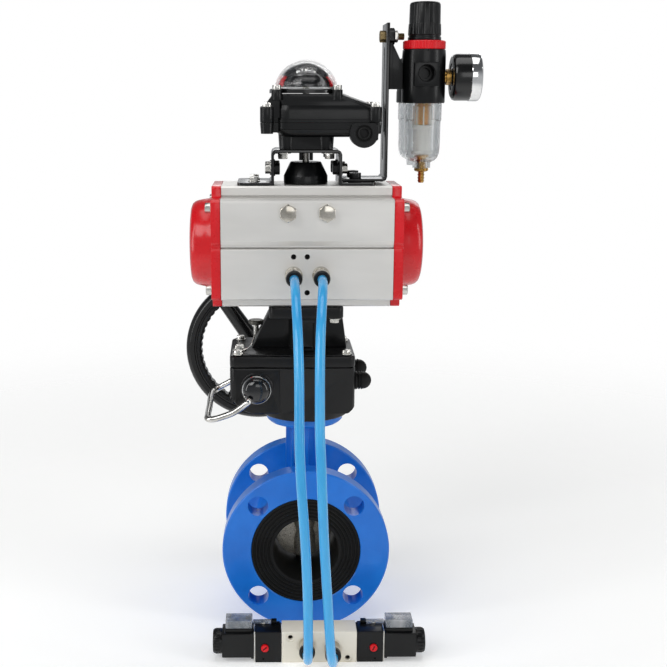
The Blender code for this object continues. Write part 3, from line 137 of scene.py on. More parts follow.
def coating(name, base, low, high, grain, rough, coat=0.0, peel=0.25, shine=0.3):
    """A paint, coat or moulded skin: close shades of one colour, a fine peel and uneven gloss."""
    made, tree, shader, where = surface(name)
    patches = noise(tree, where, 38.0, 4.0)
    tree.links.new(ramp(tree, patches, [(0.25, low), (0.5, base), (0.75, high)]), shader.inputs["Base Color"])
    fine = noise(tree, where, grain, 2.0)
    tree.links.new(band(tree, noise(tree, where, 9.0, 5.0), rough - 0.06, rough + 0.08),
                   shader.inputs["Roughness"])
    bump(tree, shader, fine, peel, 0.05)
    shader.inputs["Specular IOR Level"].default_value = shine
    shader.inputs["Coat Weight"].default_value = coat
    shader.inputs["Coat Roughness"].default_value = 0.12
    return made


def bare_metal(name, base, dark, rough, grain, stretch=(1, 1, 1), depth=0.2):
    """Turned, drawn or plated metal: tool marks drawn out along one axis over a slightly uneven shade."""
    made, tree, shader, where = surface(name)
    tree.links.new(ramp(tree, noise(tree, where, 14.0, 5.0), [(0.3, dark), (0.65, base)]),
                   shader.inputs["Base Color"])
    marks = noise(tree, where, grain, 4.0, stretch)
    tree.links.new(band(tree, marks, rough - 0.05, rough + 0.09), shader.inputs["Roughness"])
    bump(tree, shader, marks, depth, 0.03)
    shader.inputs["Metallic"].default_value = 1.0
    return made


def clear_stuff(name, tint, rough, ior, haze=0.0, solid=0.8):
    """Clear moulding or glass with faint moulding flow in its gloss."""
    made, tree, shader, where = surface(name)
    flow = noise(tree, where, 11.0, 3.0, (1, 1, 0.25))
    tree.links.new(band(tree, flow, rough, rough + 0.05), shader.inputs["Roughness"])
    tree.links.new(ramp(tree, flow, [(0.3, tint), (0.8, "FFFFFF")]), shader.inputs["Base Color"])
    shader.inputs["IOR"].default_value = ior
    shader.inputs["Transmission Weight"].default_value = 1.0 - haze
    shader.inputs["Alpha"].default_value = solid
    return made


def make_blue_enamel():
    # Epoxy enamel sprayed on cast iron: gloss over the casting's soft waves and a fine sand grain.
    made, tree, shader, where = surface("blue_epoxy_enamel")
    patches = noise(tree, where, 30.0, 4.0)
    tree.links.new(ramp(tree, patches, [(0.25, "0B68C8"), (0.5, "0F70D2"), (0.75, "1A7ADC")]),
                   shader.inputs["Base Color"])
    tree.links.new(band(tree, noise(tree, where, 7.0, 5.0), 0.26, 0.42), shader.inputs["Roughness"])
    grain = node(tree, "ShaderNodeMath", {0: noise(tree, where, 9.0, 1.5), 1: noise(tree, where, 1.5, 3.0)},
                 operation="ADD")
    bump(tree, shader, grain.outputs["Value"], 0.4, 0.25)
    shader.inputs["Specular IOR Level"].default_value = 0.35
    shader.inputs["Coat Weight"].default_value = 0.2
    shader.inputs["Coat Roughness"].default_value = 0.14
    return made


def make_rubber():
    # Moulded nitrile rubber: matt black with a grey bloom.
    return coating("nitrile_rubber", "0D0D0D", "080808", "151514", 0.8, 0.55, peel=0.35, shine=0.22)


def make_anodised():
    # Extruded aluminium, hard anodised: fine die lines along its length under a matt oxide.
    made, tree, shader, where = surface("hard_anodised_aluminium")
    lines = noise(tree, where, 0.9, 3.0, (0.012, 1, 1))
    broad = noise(tree, where, 30.0, 3.0, (0.25, 1, 1))
    tree.links.new(ramp(tree, broad, [(0.3, "DAD8D4"), (0.7, "E6E4E0")]), shader.inputs["Base Color"])
    tree.links.new(band(tree, lines, 0.38, 0.5), shader.inputs["Roughness"])
    bump(tree, shader, lines, 0.12, 0.04)
    shader.inputs["Metallic"].default_value = 0.6
    return made


def make_cast_disc():
    # Cast and thinly plated: sand texture with darker pits.
    made, tree, shader, where = surface("plated_sand_casting")
    grit = noise(tree, where, 0.9, 5.0)
    tree.links.new(ramp(tree, grit, [(0.32, "6E685E"), (0.46, "B4AEA2"), (0.7, "D6D0C4")]),
                   shader.inputs["Base Color"])
    tree.links.new(band(tree, grit, 0.35, 0.62), shader.inputs["Roughness"])
    bump(tree, shader, grit, 0.6, 0.3)
    shader.inputs["Metallic"].default_value = 0.7
    return made


def make_tube():
    # Extruded polyurethane tube: bright blue, a little light passes through the wall.
    made, tree, shader, where = surface("polyurethane_tube")
    along = noise(tree, where, 24.0, 2.0, (1, 1, 0.3))
    tree.links.new(ramp(tree, along, [(0.3, "2C9EDC"), (0.7, "46B2EA")]), shader.inputs["Base Color"])
    tree.links.new(band(tree, noise(tree, where, 3.0, 2.0, (1, 1, 0.1)), 0.2, 0.28), shader.inputs["Roughness"])
    shader.inputs["Subsurface Weight"].default_value = 0.2
    shader.inputs["Subsurface Radius"].default_value = (0.3, 0.6, 0.8)
    shader.inputs["Subsurface Scale"].default_value = 0.004
    shader.inputs["Coat Weight"].default_value = 0.3
    return made


def make_filter_core():
    # Sintered filter sleeve: fused beads, warm amber.
    made, tree, shader, where = surface("sintered_filter_sleeve")
    beads = node(tree, "ShaderNodeTexVoronoi", {"Vector": where}, Scale=1 / (1.1 * MM)).outputs["Distance"]
    tree.links.new(ramp(tree, beads, [(0.0, "E9B877"), (0.7, "C98F4D")]), shader.inputs["Base Color"])
    bump(tree, shader, beads, 0.5, 0.2)
    shader.inputs["Roughness"].default_value = 0.6
    shader.inputs["Subsurface Weight"].default_value = 0.3
    shader.inputs["Subsurface Scale"].default_value = 0.003
    return made


def make_indicator():
    # Moulded indicator drum: glossy black crown over red quarters, black between them, near its foot.
    made, tree, shader, where = surface("indicator_moulding")
    centred = node(tree, "ShaderNodeMapping", {"Vector": where})
    centred.inputs["Location"].default_value = (-STEM.x, -STEM.y, 0)
    parts = node(tree, "ShaderNodeSeparateXYZ", {"Vector": centred.outputs["Vector"]})
    angle = node(tree, "ShaderNodeMath", {0: parts.outputs["Y"], 1: parts.outputs["X"]}, operation="ARCTAN2")
    twice = node(tree, "ShaderNodeMath", {0: angle.outputs["Value"]}, operation="MULTIPLY")
    twice.inputs[1].default_value = 2.0
    wave = node(tree, "ShaderNodeMath", {0: twice.outputs["Value"]}, operation="COSINE")
    side = band(tree, wave.outputs["Value"], 0.5, 1.0)
    low = node(tree, "ShaderNodeMath", {0: parts.outputs["Z"]}, operation="LESS_THAN")
    low.inputs[1].default_value = 506.0 * MM
    both = node(tree, "ShaderNodeMath", {0: side, 1: low.outputs["Value"]}, operation="MULTIPLY")
    tree.links.new(ramp(tree, both.outputs["Value"], [(0.66, "0B0B0C"), (0.68, "D0101C")]),
                   shader.inputs["Base Color"])
    tree.links.new(band(tree, noise(tree, where, 6.0, 3.0), 0.1, 0.18), shader.inputs["Roughness"])
    bump(tree, shader, noise(tree, where, 1.0, 2.0), 0.1, 0.03)
    shader.inputs["Coat Weight"].default_value = 0.6
    return made


RECIPES = {
    "blue": make_blue_enamel,
    "indicator": make_indicator,
    "rubber": make_rubber,
    "anodised": make_anodised,
    "cast": make_cast_disc,
    "tube": make_tube,
    "core": make_filter_core,
    # Polyester powder coat on die-cast aluminium: full gloss, faint orange peel.
    "red": lambda: coating("red_powder_coat", "D20F1A", "C80C17", "DA1622", 1.1, 0.27, coat=0.4, peel=0.2),
    # Powder coat on cast and bent steel: satin black.
    "powder": lambda: coating("black_powder_coat", "0A0A0B", "070708", "101011", 0.7, 0.34, coat=0.15,
                              peel=0.25, shine=0.24),
    # Stoved enamel on bent sheet steel: smooth and glossy black.
    "gloss": lambda: coating("black_stoved_enamel", "090909", "060606", "0E0E0F", 1.6, 0.2, coat=0.5, peel=0.1),
    # Glass-filled polyamide: black with a fine moulded grain.
    "polyamide": lambda: coating("black_polyamide", "08090A", "060607", "0E0F10", 0.5, 0.33, coat=0.12,
                                 peel=0.25, shine=0.24),
    # Phenolic: polished black, as on handwheels.
    "phenolic": lambda: coating("black_phenolic", "080808", "060606", "0D0D0D", 2.2, 0.24, coat=0.3, peel=0.12),
    # Two-part cream paint on machined aluminium.
    "cream": lambda: coating("cream_enamel", "E8E2D3", "E1DBCB", "EEE9DC", 0.9, 0.36, coat=0.2, peel=0.2),
    # Coloured acetal.
    "red_plastic": lambda: coating("red_acetal", "D8141E", "CC0F18", "E01E28", 0.8, 0.34, peel=0.15),
    # White acetal.
    "white_plastic": lambda: coating("white_acetal", "E6E4DE", "DEDCD5", "EEEDE9", 0.8, 0.42, peel=0.15),
    # Printing ink, dense and matt. The same near-black is also painted shade inside the actuator's tapped holes and the
    # gland's mouth.
    "ink": lambda: coating("printing_ink_and_painted_shade", "121212", "0E0E0E", "181818", 0.6, 0.5, peel=0.1),
    # Zinc-plated steel: bright, faint turning marks.
    "zinc": lambda: bare_metal("zinc_plated_steel", "DAD8D3", "B9B7B1", 0.24, 0.9, (1, 1, 0.2)),
    # Stainless steel, as turned.
    "stainless": lambda: bare_metal("turned_stainless", "BEBBB5", "96938D", 0.26, 0.7, (0.15, 1, 1)),
    # Drawn and polished stainless wire.
    "wire": lambda: bare_metal("polished_wire", "E2E0DC", "A8A6A1", 0.14, 1.2, (0.1, 0.4, 1)),
    # Bright nickel over brass.
    "nickel": lambda: bare_metal("bright_nickel", "D5D1C8", "A9A398", 0.17, 0.8, (1, 0.2, 1)),
    # Chromium over steel: mirror bright.
    "chrome": lambda: bare_metal("chromium_plate", "EFEFEF", "D9D9D9", 0.07, 2.0, (0.2, 1, 1), 0.05),
    # Zinc plate gone grey.
    "dull_zinc": lambda: bare_metal("weathered_zinc", "77756F", "4A4945", 0.36, 0.9, (1, 1, 0.3)),
    # Free-cutting brass, turned.
    "brass": lambda: bare_metal("turned_brass", "C49A56", "8A6A34", 0.26, 0.7, (1, 1, 0.2)),
    # Passivated steel stud gone dull: olive brown.
    "dull": lambda: bare_metal("passivated_steel", "8C7A56", "4C3F2A", 0.34, 0.8, (0.3, 1, 1)),
    # Near black under a mirror-gloss coat.
    "dark_mirror_gloss": lambda: coating("near_black_mirror_gloss", "0A0C10", "07090C", "0F1116", 2.0, 0.08, coat=0.8,
                                   peel=0.04),
    # Cast bronze.
    "bronze": lambda: bare_metal("cast_bronze", "A88450", "7E6038", 0.42, 1.6, (1, 1, 1), 0.5),
    # Polycarbonate: water clear with faint flow lines.
    "clear": lambda: clear_stuff("clear_polycarbonate", "F1F4F5", 0.0, 1.5),
    # The same, as a thin shell over the indicator: hardly there but for its gloss.
    "clear_dome": lambda: clear_stuff("clear_polycarbonate_shell", "FFFFFF", 0.0, 1.4, solid=0.3),
    # Float glass.
    "glass": lambda: clear_stuff("gauge_glass", "FAFCFB", 0.01, 1.5),
    # Smoked polycarbonate of the plug lids.
    "smoked": lambda: clear_stuff("smoked_polycarbonate", "7C8794", 0.12, 1.58, 0.45),
}
MADE = {}


def finish(name):
    """The named finish, made once."""
    if name not in MADE:
        MADE[name] = RECIPES[name]()
    return MADE[name]


# ---------------------------------------------------------------- modelling


def fresh():
    """Nothing selected, object mode."""
    if bpy.context.object and bpy.context.object.mode != "OBJECT":
        bpy.ops.object.mode_set(mode="OBJECT")
    bpy.ops.object.select_all(action="DESELECT")


def pick(*objs):
    """Selects just these objects, the first one active."""
    fresh()
    for obj in objs:
        obj.select_set(True)
    bpy.context.view_layer.objects.active = objs[0]
    return objs[0]


def edit(obj):
    pick(obj)
    bpy.ops.object.mode_set(mode="EDIT")
    bpy.ops.mesh.select_all(action="SELECT")


def settle(obj):
    """Its place, turn and scale go into the mesh."""
    pick(obj)
    bpy.ops.object.transform_apply(location=True, rotation=True, scale=True)
    return obj


def clean(obj, near=0.004, dissolve=False):
    """Doubles merged, flat faces joined if asked, faces outward."""
    edit(obj)
    bpy.ops.mesh.remove_doubles(threshold=near * MM)
    if dissolve:
        bpy.ops.mesh.dissolve_limited(angle_limit=math.radians(0.5))
    bpy.ops.mesh.normals_make_consistent(inside=False)
    bpy.ops.object.mode_set(mode="OBJECT")
    return obj


def apply_modifier(obj, kind, **settings):
    modifier = obj.modifiers.new("step", kind)
    for key, value in settings.items():
        setattr(modifier, key, value)
    pick(obj)
    bpy.ops.object.modifier_apply(modifier=modifier.name)
    return obj


def ease(obj, width, angle=30, segments=2):
    """Edges sharper than the angle rounded by a width in millimetres."""
    return apply_modifier(obj, "BEVEL", width=width * MM, segments=segments, limit_method="ANGLE",
                          angle_limit=math.radians(angle), use_clamp_overlap=True)


def merge_shapes(obj, tool, operation):
    """A Boolean with another shape, which is used up."""
    apply_modifier(obj, "BOOLEAN", object=tool, operation=operation, solver="EXACT")
    bpy.data.objects.remove(tool, do_unlink=True)
    return obj


def add(obj, *tools):
    for tool in tools:
        merge_shapes(obj, tool, "UNION")
    return obj


def cut(obj, *tools):
    for tool in tools:
        merge_shapes(obj, tool, "DIFFERENCE")
    return obj


def gather(name, objs):
    """Several loose shapes as one piece."""
    first = pick(*objs)
    if len(objs) > 1:
        bpy.ops.object.join()
    first.name = name
    return first


TURN = {"X": (0, math.pi / 2, 0), "Y": (-math.pi / 2, 0, 0), "Z": (0, 0, 0),
        "-X": (0, -math.pi / 2, 0), "-Y": (math.pi / 2, 0, 0), "-Z": (math.pi, 0, 0)}
TIP = 0.001


def turned(name, profile, centre, axis="Z", sides=72):
    """A ring drawn out along a profile of (radius, height) points, as on a lathe.

    A profile that leaves the axis open at both ends is closed back to its start."""
    rings = [(max(radius, TIP), height) for radius, height in profile]
    if rings[0][0] > TIP and rings[-1][0] > TIP:
        rings.append(rings[0])
    fresh()
    bpy.ops.mesh.primitive_circle_add(vertices=sides, radius=rings[0][0] * MM,
                                      location=(0, 0, rings[0][1] * MM))
    obj = bpy.context.object
    obj.name = name
    bpy.ops.object.mode_set(mode="EDIT")
    bpy.ops.mesh.select_all(action="SELECT")
    for (r0, h0), (r1, h1) in zip(rings, rings[1:]):
        bpy.ops.mesh.extrude_region_move(TRANSFORM_OT_translate={"value": (0, 0, (h1 - h0) * MM)})
        if r1 != r0:
            bpy.ops.transform.resize(value=(r1 / r0, r1 / r0, 1))
    bpy.ops.object.mode_set(mode="OBJECT")
    clean(obj)
    settle(obj)
    obj.rotation_euler = TURN[axis]
    obj.location = at(*centre)
    return settle(obj)


def brick(name, low, high, rounding=0.0, segments=2):
    """A block between two corners, its edges rounded."""
    fresh()
    middle = [(a + b) / 2 for a, b in zip(low, high)]
    bpy.ops.mesh.primitive_cube_add(size=1.0, location=at(*middle),
                                    scale=[abs(b - a) * MM for a, b in zip(low, high)])
    obj = bpy.context.object
    obj.name = name
    settle(obj)
    return ease(obj, rounding, segments=segments) if rounding else obj


def peg(name, start, end, radius, sides=32, tip=None, rounding=0.0, spin=0.0):
    """A straight round or many-sided bar from start to end."""
    fresh()
    a, b = Vector(start), Vector(end)
    along = b - a
    bpy.ops.mesh.primitive_cone_add(vertices=sides, radius1=radius * MM, depth=along.length * MM,
                                    radius2=(radius if tip is None else tip) * MM)
    obj = bpy.context.object
    obj.name = name
    turn = along.to_track_quat("Z", "Y").to_matrix().to_4x4() @ Matrix.Rotation(spin, 4, "Z")
    obj.matrix_world = Matrix.Translation(at(*((a + b) / 2))) @ turn
    settle(obj)
    return ease(obj, rounding) if rounding else obj


def slab(name, outline, axis, low, high, rounding=0.0, segments=2, angle=30):
    """A flat outline drawn as a filled curve, given its thickness and rounded."""
    curve = bpy.data.curves.new(name, "CURVE")
    curve.dimensions = "2D"
    curve.fill_mode = "BOTH"
    curve.extrude = abs(high - low) / 2 * MM
    line = curve.splines.new("POLY")
    line.points.add(len(outline) - 1)
    for point, (u, v) in zip(line.points, outline):
        point.co = (u * MM, v * MM, 0, 1)
    line.use_cyclic_u = True
    obj = bpy.data.objects.new(name, curve)
    bpy.context.scene.collection.objects.link(obj)
    pick(obj)
    bpy.ops.object.convert(target="MESH")
    obj = bpy.context.object
    middle = (low + high) / 2
    columns = {"X": ((0, 1, 0), (0, 0, 1), (1, 0, 0)), "Y": ((1, 0, 0), (0, 0, 1), (0, -1, 0)),
               "Z": ((1, 0, 0), (0, 1, 0), (0, 0, 1))}[axis]
    offset = {"X": (middle, 0, 0), "Y": (0, middle, 0), "Z": (0, 0, middle)}[axis]
    obj.matrix_world = Matrix.Translation(at(*offset)) @ Matrix(columns).transposed().to_4x4()
    settle(obj)
    clean(obj, 0.01, dissolve=True)
    return ease(obj, rounding, angle, segments) if rounding else obj


def stacked(name, levels):
    """A solid drawn up through outlines of equal length, each at its height."""
    first = levels[0][1]
    fresh()
    count = len(first)
    bpy.ops.mesh.primitive_circle_add(vertices=count, radius=1.0, location=(0, 0, 0))
    obj = bpy.context.object
    obj.name = name
    for point, (u, v) in zip(obj.data.vertices, first):
        point.co = at(u, v, levels[0][0])
    for height, outline in levels[1:]:
        edit(obj)
        bpy.ops.mesh.select_all(action="DESELECT")
        bpy.ops.object.mode_set(mode="OBJECT")
        for point in list(obj.data.vertices)[-count:]:
            point.select = True
        bpy.ops.object.mode_set(mode="EDIT")
        bpy.ops.mesh.extrude_region_move()
        bpy.ops.object.mode_set(mode="OBJECT")
        for point, (u, v) in zip(list(obj.data.vertices)[-count:], outline):
            point.co = at(u, v, height)
    edit(obj)
    bpy.ops.mesh.fill_holes(sides=0)
    bpy.ops.object.mode_set(mode="OBJECT")
    return clean(obj)


def arc(centre, radius, start, end, steps):
    """Points along a circle from start to end, in degrees."""
    turns = [math.radians(start + (end - start) * i / steps) for i in range(steps + 1)]
    return [(centre[0] + radius * math.cos(a), centre[1] + radius * math.sin(a)) for a in turns]


def soft_corners(low, high, radius, steps=8):
    x0, y0, x1, y1 = low[0] + radius, low[1] + radius, high[0] - radius, high[1] - radius
    return (arc((x1, y1), radius, 0, 90, steps) + arc((x0, y1), radius, 90, 180, steps)
            + arc((x0, y0), radius, 180, 270, steps) + arc((x1, y0), radius, 270, 360, steps))


def wheel_of(obj, name, count, centre, axis, start=0.0):
    """Copies of a shape spread evenly round an axis through a point."""
    made = []
    for i in range(count):
        other = obj.copy()
        other.data = obj.data.copy()
        bpy.context.scene.collection.objects.link(other)
        move = Matrix.Translation(at(*centre))
        other.data.transform(move @ Matrix.Rotation(start + math.tau * i / count, 4, axis) @ move.inverted())
        made.append(other)
    bpy.data.objects.remove(obj, do_unlink=True)
    return gather(name, made)


def drawn_curve(name, points, radius, resolution, steps):
    """A round wire through points, as a curve, with its one spline."""
    curve = bpy.data.curves.new(name, "CURVE")
    curve.dimensions = "3D"
    curve.bevel_depth = radius
    curve.bevel_resolution = resolution
    curve.use_fill_caps = True
    curve.resolution_u = steps
    line = curve.splines.new("BEZIER")
    line.bezier_points.add(len(points) - 1)
    for knot, point in zip(line.bezier_points, points):
        knot.co = at(*point)
        knot.handle_left_type = knot.handle_right_type = "AUTO"
    obj = bpy.data.objects.new(name, curve)
    bpy.context.scene.collection.objects.link(obj)
    return obj, line


def wired(name, points, radius, resolution=6):
    """A round wire through points, as a curve made solid."""
    obj, _ = drawn_curve(name, points, radius * MM, resolution, 8)
    pick(obj)
    bpy.ops.object.convert(target="MESH")
    return clean(bpy.context.object, 0.01)


def dress(obj, look, body="root", stands_for=(), angle=32):
    """Finish, shading, body and the frame nodes that the piece stands for."""
    pick(obj)
    bpy.ops.object.shade_smooth_by_angle(angle=math.radians(angle))
    obj.data.materials.clear()
    obj.data.materials.append(finish(look))
    obj.data.name = obj.name
    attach(obj, body)
    if stands_for:
        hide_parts(*([stands_for] if isinstance(stands_for, str) else stands_for))
    return obj


# ---------------------------------------------------------------- fasteners


def hex_head(name, point, way, across, height, washer=0.0):
    """A chamfered hexagon head on a surface at a point, standing out along a way, on a washer if asked."""
    radius = across / math.sqrt(3)
    base, out = Vector(point), Vector(way).normalized()
    thick = 1.1 if washer else 0.0
    head = peg(name, base + out * thick, base + out * (thick + height), radius, sides=6)
    tip = across / 2 * 0.96
    crown = peg("crown", base + out * (thick - 1), base + out * (thick + height), tip + 1.9 * (height + 1), 48,
                tip)
    merge_shapes(head, crown, "INTERSECT")
    ease(head, 0.12, 40, 1)
    if not washer:
        return head
    disc = peg("washer", base, base + out * thick, washer, 40, rounding=0.15)
    return gather(name, [head, disc])


def socket_head(name, point, way, radius, height):
    """A cap screw with its hexagon socket."""
    base, out = Vector(point), Vector(way).normalized()
    head = peg(name, base, base + out * height, radius, 40, rounding=0.35)
    return cut(head, peg("socket", base + out * height * 0.45, base + out * (height + 1), radius * 0.55, 6))


# ---------------------------------------------------------------- settings


class TubeSettings(bpy.types.PropertyGroup):
    """Sizes of the two air tubes."""

    diameter: bpy.props.FloatProperty(
        name="Diameter", description="Outside diameter of the air tubes", default=0.008, min=0.004,
        max=0.016, unit="LENGTH")
    knots: bpy.props.IntProperty(
        name="Smoothness", description="Curve steps between two points of a tube's route", default=6, min=2,
        max=16)


class TrimSettings(bpy.types.PropertyGroup):
    """Sizes of the finer features."""

    rounding: bpy.props.FloatProperty(
        name="Casting edges", description="Rounding of the cast parts' edges", default=0.0016, min=0.0002,
        max=0.003, unit="LENGTH")
    ridges: bpy.props.IntProperty(
        name="Seat ridges", description="Sealing ridges on each face of the rubber seat", default=5, min=2,
        max=8)
    grips: bpy.props.IntProperty(
        name="Finger waves", description="Waves on the inner side of the handwheel", default=52, min=12, max=60)


class StageSettings(bpy.types.PropertyGroup):
    """The studio round the valve."""

    floor_colour: bpy.props.FloatVectorProperty(
        name="Floor", description="Colour of the floor", default=linear("F4F4F2")[:3], subtype="COLOR",
        min=0.0, max=1.0)
    daylight: bpy.props.FloatProperty(
        name="Daylight", description="Strength of the light that comes from all round", default=0.85, min=0.0,
        max=3.0, subtype="FACTOR")


def trim():
    return bpy.context.scene.valve_trim


class PieceOperator(bpy.types.Operator):
    """Base of the operators that model pieces."""

    bl_options = {"REGISTER", "UNDO"}


# ---------------------------------------------------------------- stage

EYE = (-33.9, -989.8, 491.2)
PITCH_DOWN, YAW_RIGHT = 11.57, 0.62
LENS, SENSOR = 58.15, 36.0
SHIFT = (0.0798, -0.029)
FLOOR_FADE, FLOOR_EDGE = 0.3, 1.3


def area_light(name, place, aim, width, height, power, code="FFFFFF"):
    light = bpy.data.lights.new(name, "AREA")
    light.shape = "RECTANGLE"
    light.size, light.size_y = width, height
    light.energy = power
    light.color = linear(code)[:3]
    obj = bpy.data.objects.new(name, light)
    obj.location = place
    obj.rotation_euler = (Vector(aim) - Vector(place)).to_track_quat("-Z", "Y").to_euler()
    bpy.context.scene.collection.objects.link(obj)


def pale_floor(colour):
    """Matt floor that fades out round its edge, so that it meets the surround without a line."""
    made, tree, shader, where = surface("pale_floor")
    grain = band(tree, noise(tree, where, 300.0, 2.0), 0.985, 1.0)
    shade = node(tree, "ShaderNodeVectorMath", {0: grain}, operation="MULTIPLY")
    shade.inputs[1].default_value = colour
    tree.links.new(shade.outputs["Vector"], shader.inputs["Base Color"])
    shader.inputs["Roughness"].default_value = 0.8
    shader.inputs["Specular IOR Level"].default_value = 0.1
    shader.inputs["Emission Color"].default_value = linear("FFFFFF")
    shader.inputs["Emission Strength"].default_value = 0.28
    reach = node(tree, "ShaderNodeVectorMath", {0: where}, operation="LENGTH").outputs["Value"]
    fade = node(tree, "ShaderNodeMapRange", {"Value": reach}, From_Min=FLOOR_FADE, From_Max=FLOOR_EDGE - 0.05,
                To_Min=1.0, To_Max=0.0, interpolation_type="SMOOTHSTEP")
    tree.links.new(fade.outputs["Result"], shader.inputs["Alpha"])
    return made


def pale_surround(strength):
    """White behind everything. As light it is brightest low down and falls off overhead."""
    world = bpy.data.worlds.new("pale_surround")
    world.use_nodes = True
    tree = world.node_tree
    glow = tree.nodes["Background"]
    direction = node(tree, "ShaderNodeTexCoord").outputs["Generated"]
    height = node(tree, "ShaderNodeSeparateXYZ", {"Vector": direction}).outputs["Z"]
    tree.links.new(ramp(tree, height, [(0.0, "C4C6C8"), (0.18, "B4B6B9"), (0.5, "6E7073"), (1.0, "5C5E60")]),
                   glow.inputs["Color"])
    glow.inputs["Strength"].default_value = strength
    plain = node(tree, "ShaderNodeBackground", Color=linear("FFFFFF"), Strength=1.0)
    seen = node(tree, "ShaderNodeLightPath").outputs["Is Camera Ray"]
    mix = node(tree, "ShaderNodeMixShader",
               {0: seen, 1: glow.outputs["Background"], 2: plain.outputs["Background"]})
    tree.links.new(mix.outputs["Shader"], tree.nodes["World Output"].inputs["Surface"])
    return world


class VALVE_OT_stage(PieceOperator):
    """Camera, floor, soft lights and a pale surround."""

    bl_idname = "valve.stage"
    bl_label = "Stage"

    def execute(self, context):
        settings = bpy.context.scene.valve_stage
        lens = bpy.data.cameras.new("camera")
        lens.lens, lens.sensor_width = LENS, SENSOR
        lens.shift_x, lens.shift_y = SHIFT
        camera = bpy.data.objects.new("camera", lens)
        camera.location = at(*EYE)
        camera.rotation_euler = (math.radians(90 - PITCH_DOWN), 0, math.radians(-YAW_RIGHT))
        bpy.context.scene.collection.objects.link(camera)
        bpy.context.scene.camera = camera

        fresh()
        bpy.ops.mesh.primitive_circle_add(vertices=96, radius=FLOOR_EDGE, fill_type="NGON", location=(0, 0, 0))
        floor = bpy.context.object
        floor.name = "studio_floor"
        floor.data.materials.append(pale_floor(settings.floor_colour))

        area_light("key_box", (-1.3, -1.5, 1.75), (0, 0, 0.3), 1.1, 1.1, 17)
        area_light("left_strip", (-1.25, -0.45, 0.65), (0, 0, 0.35), 0.22, 1.3, 4.5)
        area_light("right_strip", (1.25, -0.55, 0.75), (0, 0, 0.35), 0.3, 1.3, 5)
        area_light("front_fill", (0.35, -2.1, 0.9), (0, 0, 0.25), 1.2, 0.8, 5)
        area_light("top_box", (0, -0.1, 1.9), (0, 0, 0.2), 1.4, 1.0, 9)
        area_light("back_fill", (0.4, 1.9, 1.3), (0, 0, 0.3), 1.6, 1.0, 9)
        bpy.context.scene.world = pale_surround(settings.daylight)
        bpy.context.scene.view_settings.view_transform = "Standard"
        return {"FINISHED"}


# ---------------------------------------------------------------- air tubes

LEFT_TUBE = (
    (-12.0, -78.0, 334.6), (-12.0, -88.0, 334.6), (-12.0, -100.0, 333.5), (-11.8, -115.0, 329.0),
    (-11.4, -130.0, 319.5), (-10.8, -143.0, 306.0), (-10.3, -154.0, 289.0), (-10.0, -163.0, 270.0),
    (-10.0, -170.0, 250.0), (-10.0, -176.0, 228.0), (-9.4, -180.0, 205.0), (-8.2, -182.5, 182.0),
    (-6.6, -183.5, 160.0), (-5.0, -183.8, 136.0), (-3.8, -183.5, 112.0), (-2.9, -182.4, 89.0),
    (-2.4, -180.2, 69.0), (-2.1, -176.6, 52.5), (-1.9, -171.3, 39.0), (-1.7, -164.0, 28.5),
    (-1.5, -155.3, 21.2), (-1.4, -146.5, 17.8), (-1.4, -138.3, 17.0),
)
RIGHT_TUBE = (
    (12.0, -78.0, 334.6), (12.0, -88.0, 334.6), (11.6, -100.0, 333.5), (10.6, -115.0, 329.0),
    (9.3, -130.0, 319.5), (8.0, -143.0, 306.0), (7.0, -154.0, 289.0), (6.5, -163.0, 270.0),
    (6.3, -170.0, 250.0), (6.3, -176.0, 228.0), (7.2, -180.0, 205.0), (8.0, -182.5, 182.0),
    (8.9, -183.5, 160.0), (10.1, -183.8, 136.0), (11.6, -183.4, 112.0), (13.2, -182.2, 88.0),
    (14.6, -179.9, 67.0), (15.9, -176.2, 50.0), (17.1, -170.8, 36.2), (18.4, -163.5, 25.5),
    (19.7, -155.0, 18.2), (20.8, -146.4, 14.8), (21.2, -138.3, 14.0),
)


class VALVE_OT_air_tubes(PieceOperator):
    """The two air tubes from the actuator down to the air valve."""

    bl_idname = "valve.air_tubes"
    bl_label = "Air tubes"

    def execute(self, context):
        settings = bpy.context.scene.valve_tubes
        for side, route in (("left", LEFT_TUBE), ("right", RIGHT_TUBE)):
            tube, line = drawn_curve(f"blue_tube_{side}", route, settings.diameter / 2, 8, settings.knots)
            tube.data.materials.append(finish("tube"))
            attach(tube, "root")
            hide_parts(f"air_tube_{side}")
            bpy.context.view_layer.update()
        return {"FINISHED"}


# ---------------------------------------------------------------- valve

PIPE_Z, FACE, FLANGE_R, FLANGE_T = 75.0, 54.0, 77.5, 19.0
BOLT_CIRCLE_R, BOLT_HOLE_R, BARREL_R = 62.5, 9.5, 46.0
SEAT_R, SEAT_BORE, SEAT_T, LINER_R = 50.5, 30.0, 3.7, 36.0
PAD_R, PAD_LOW, PAD_TOP = 36.0, 187.5, 196.5
NECK_HALF_W, NECK_HALF_D, STEM_HOLE_R = 17.7, 15.0, 8.3


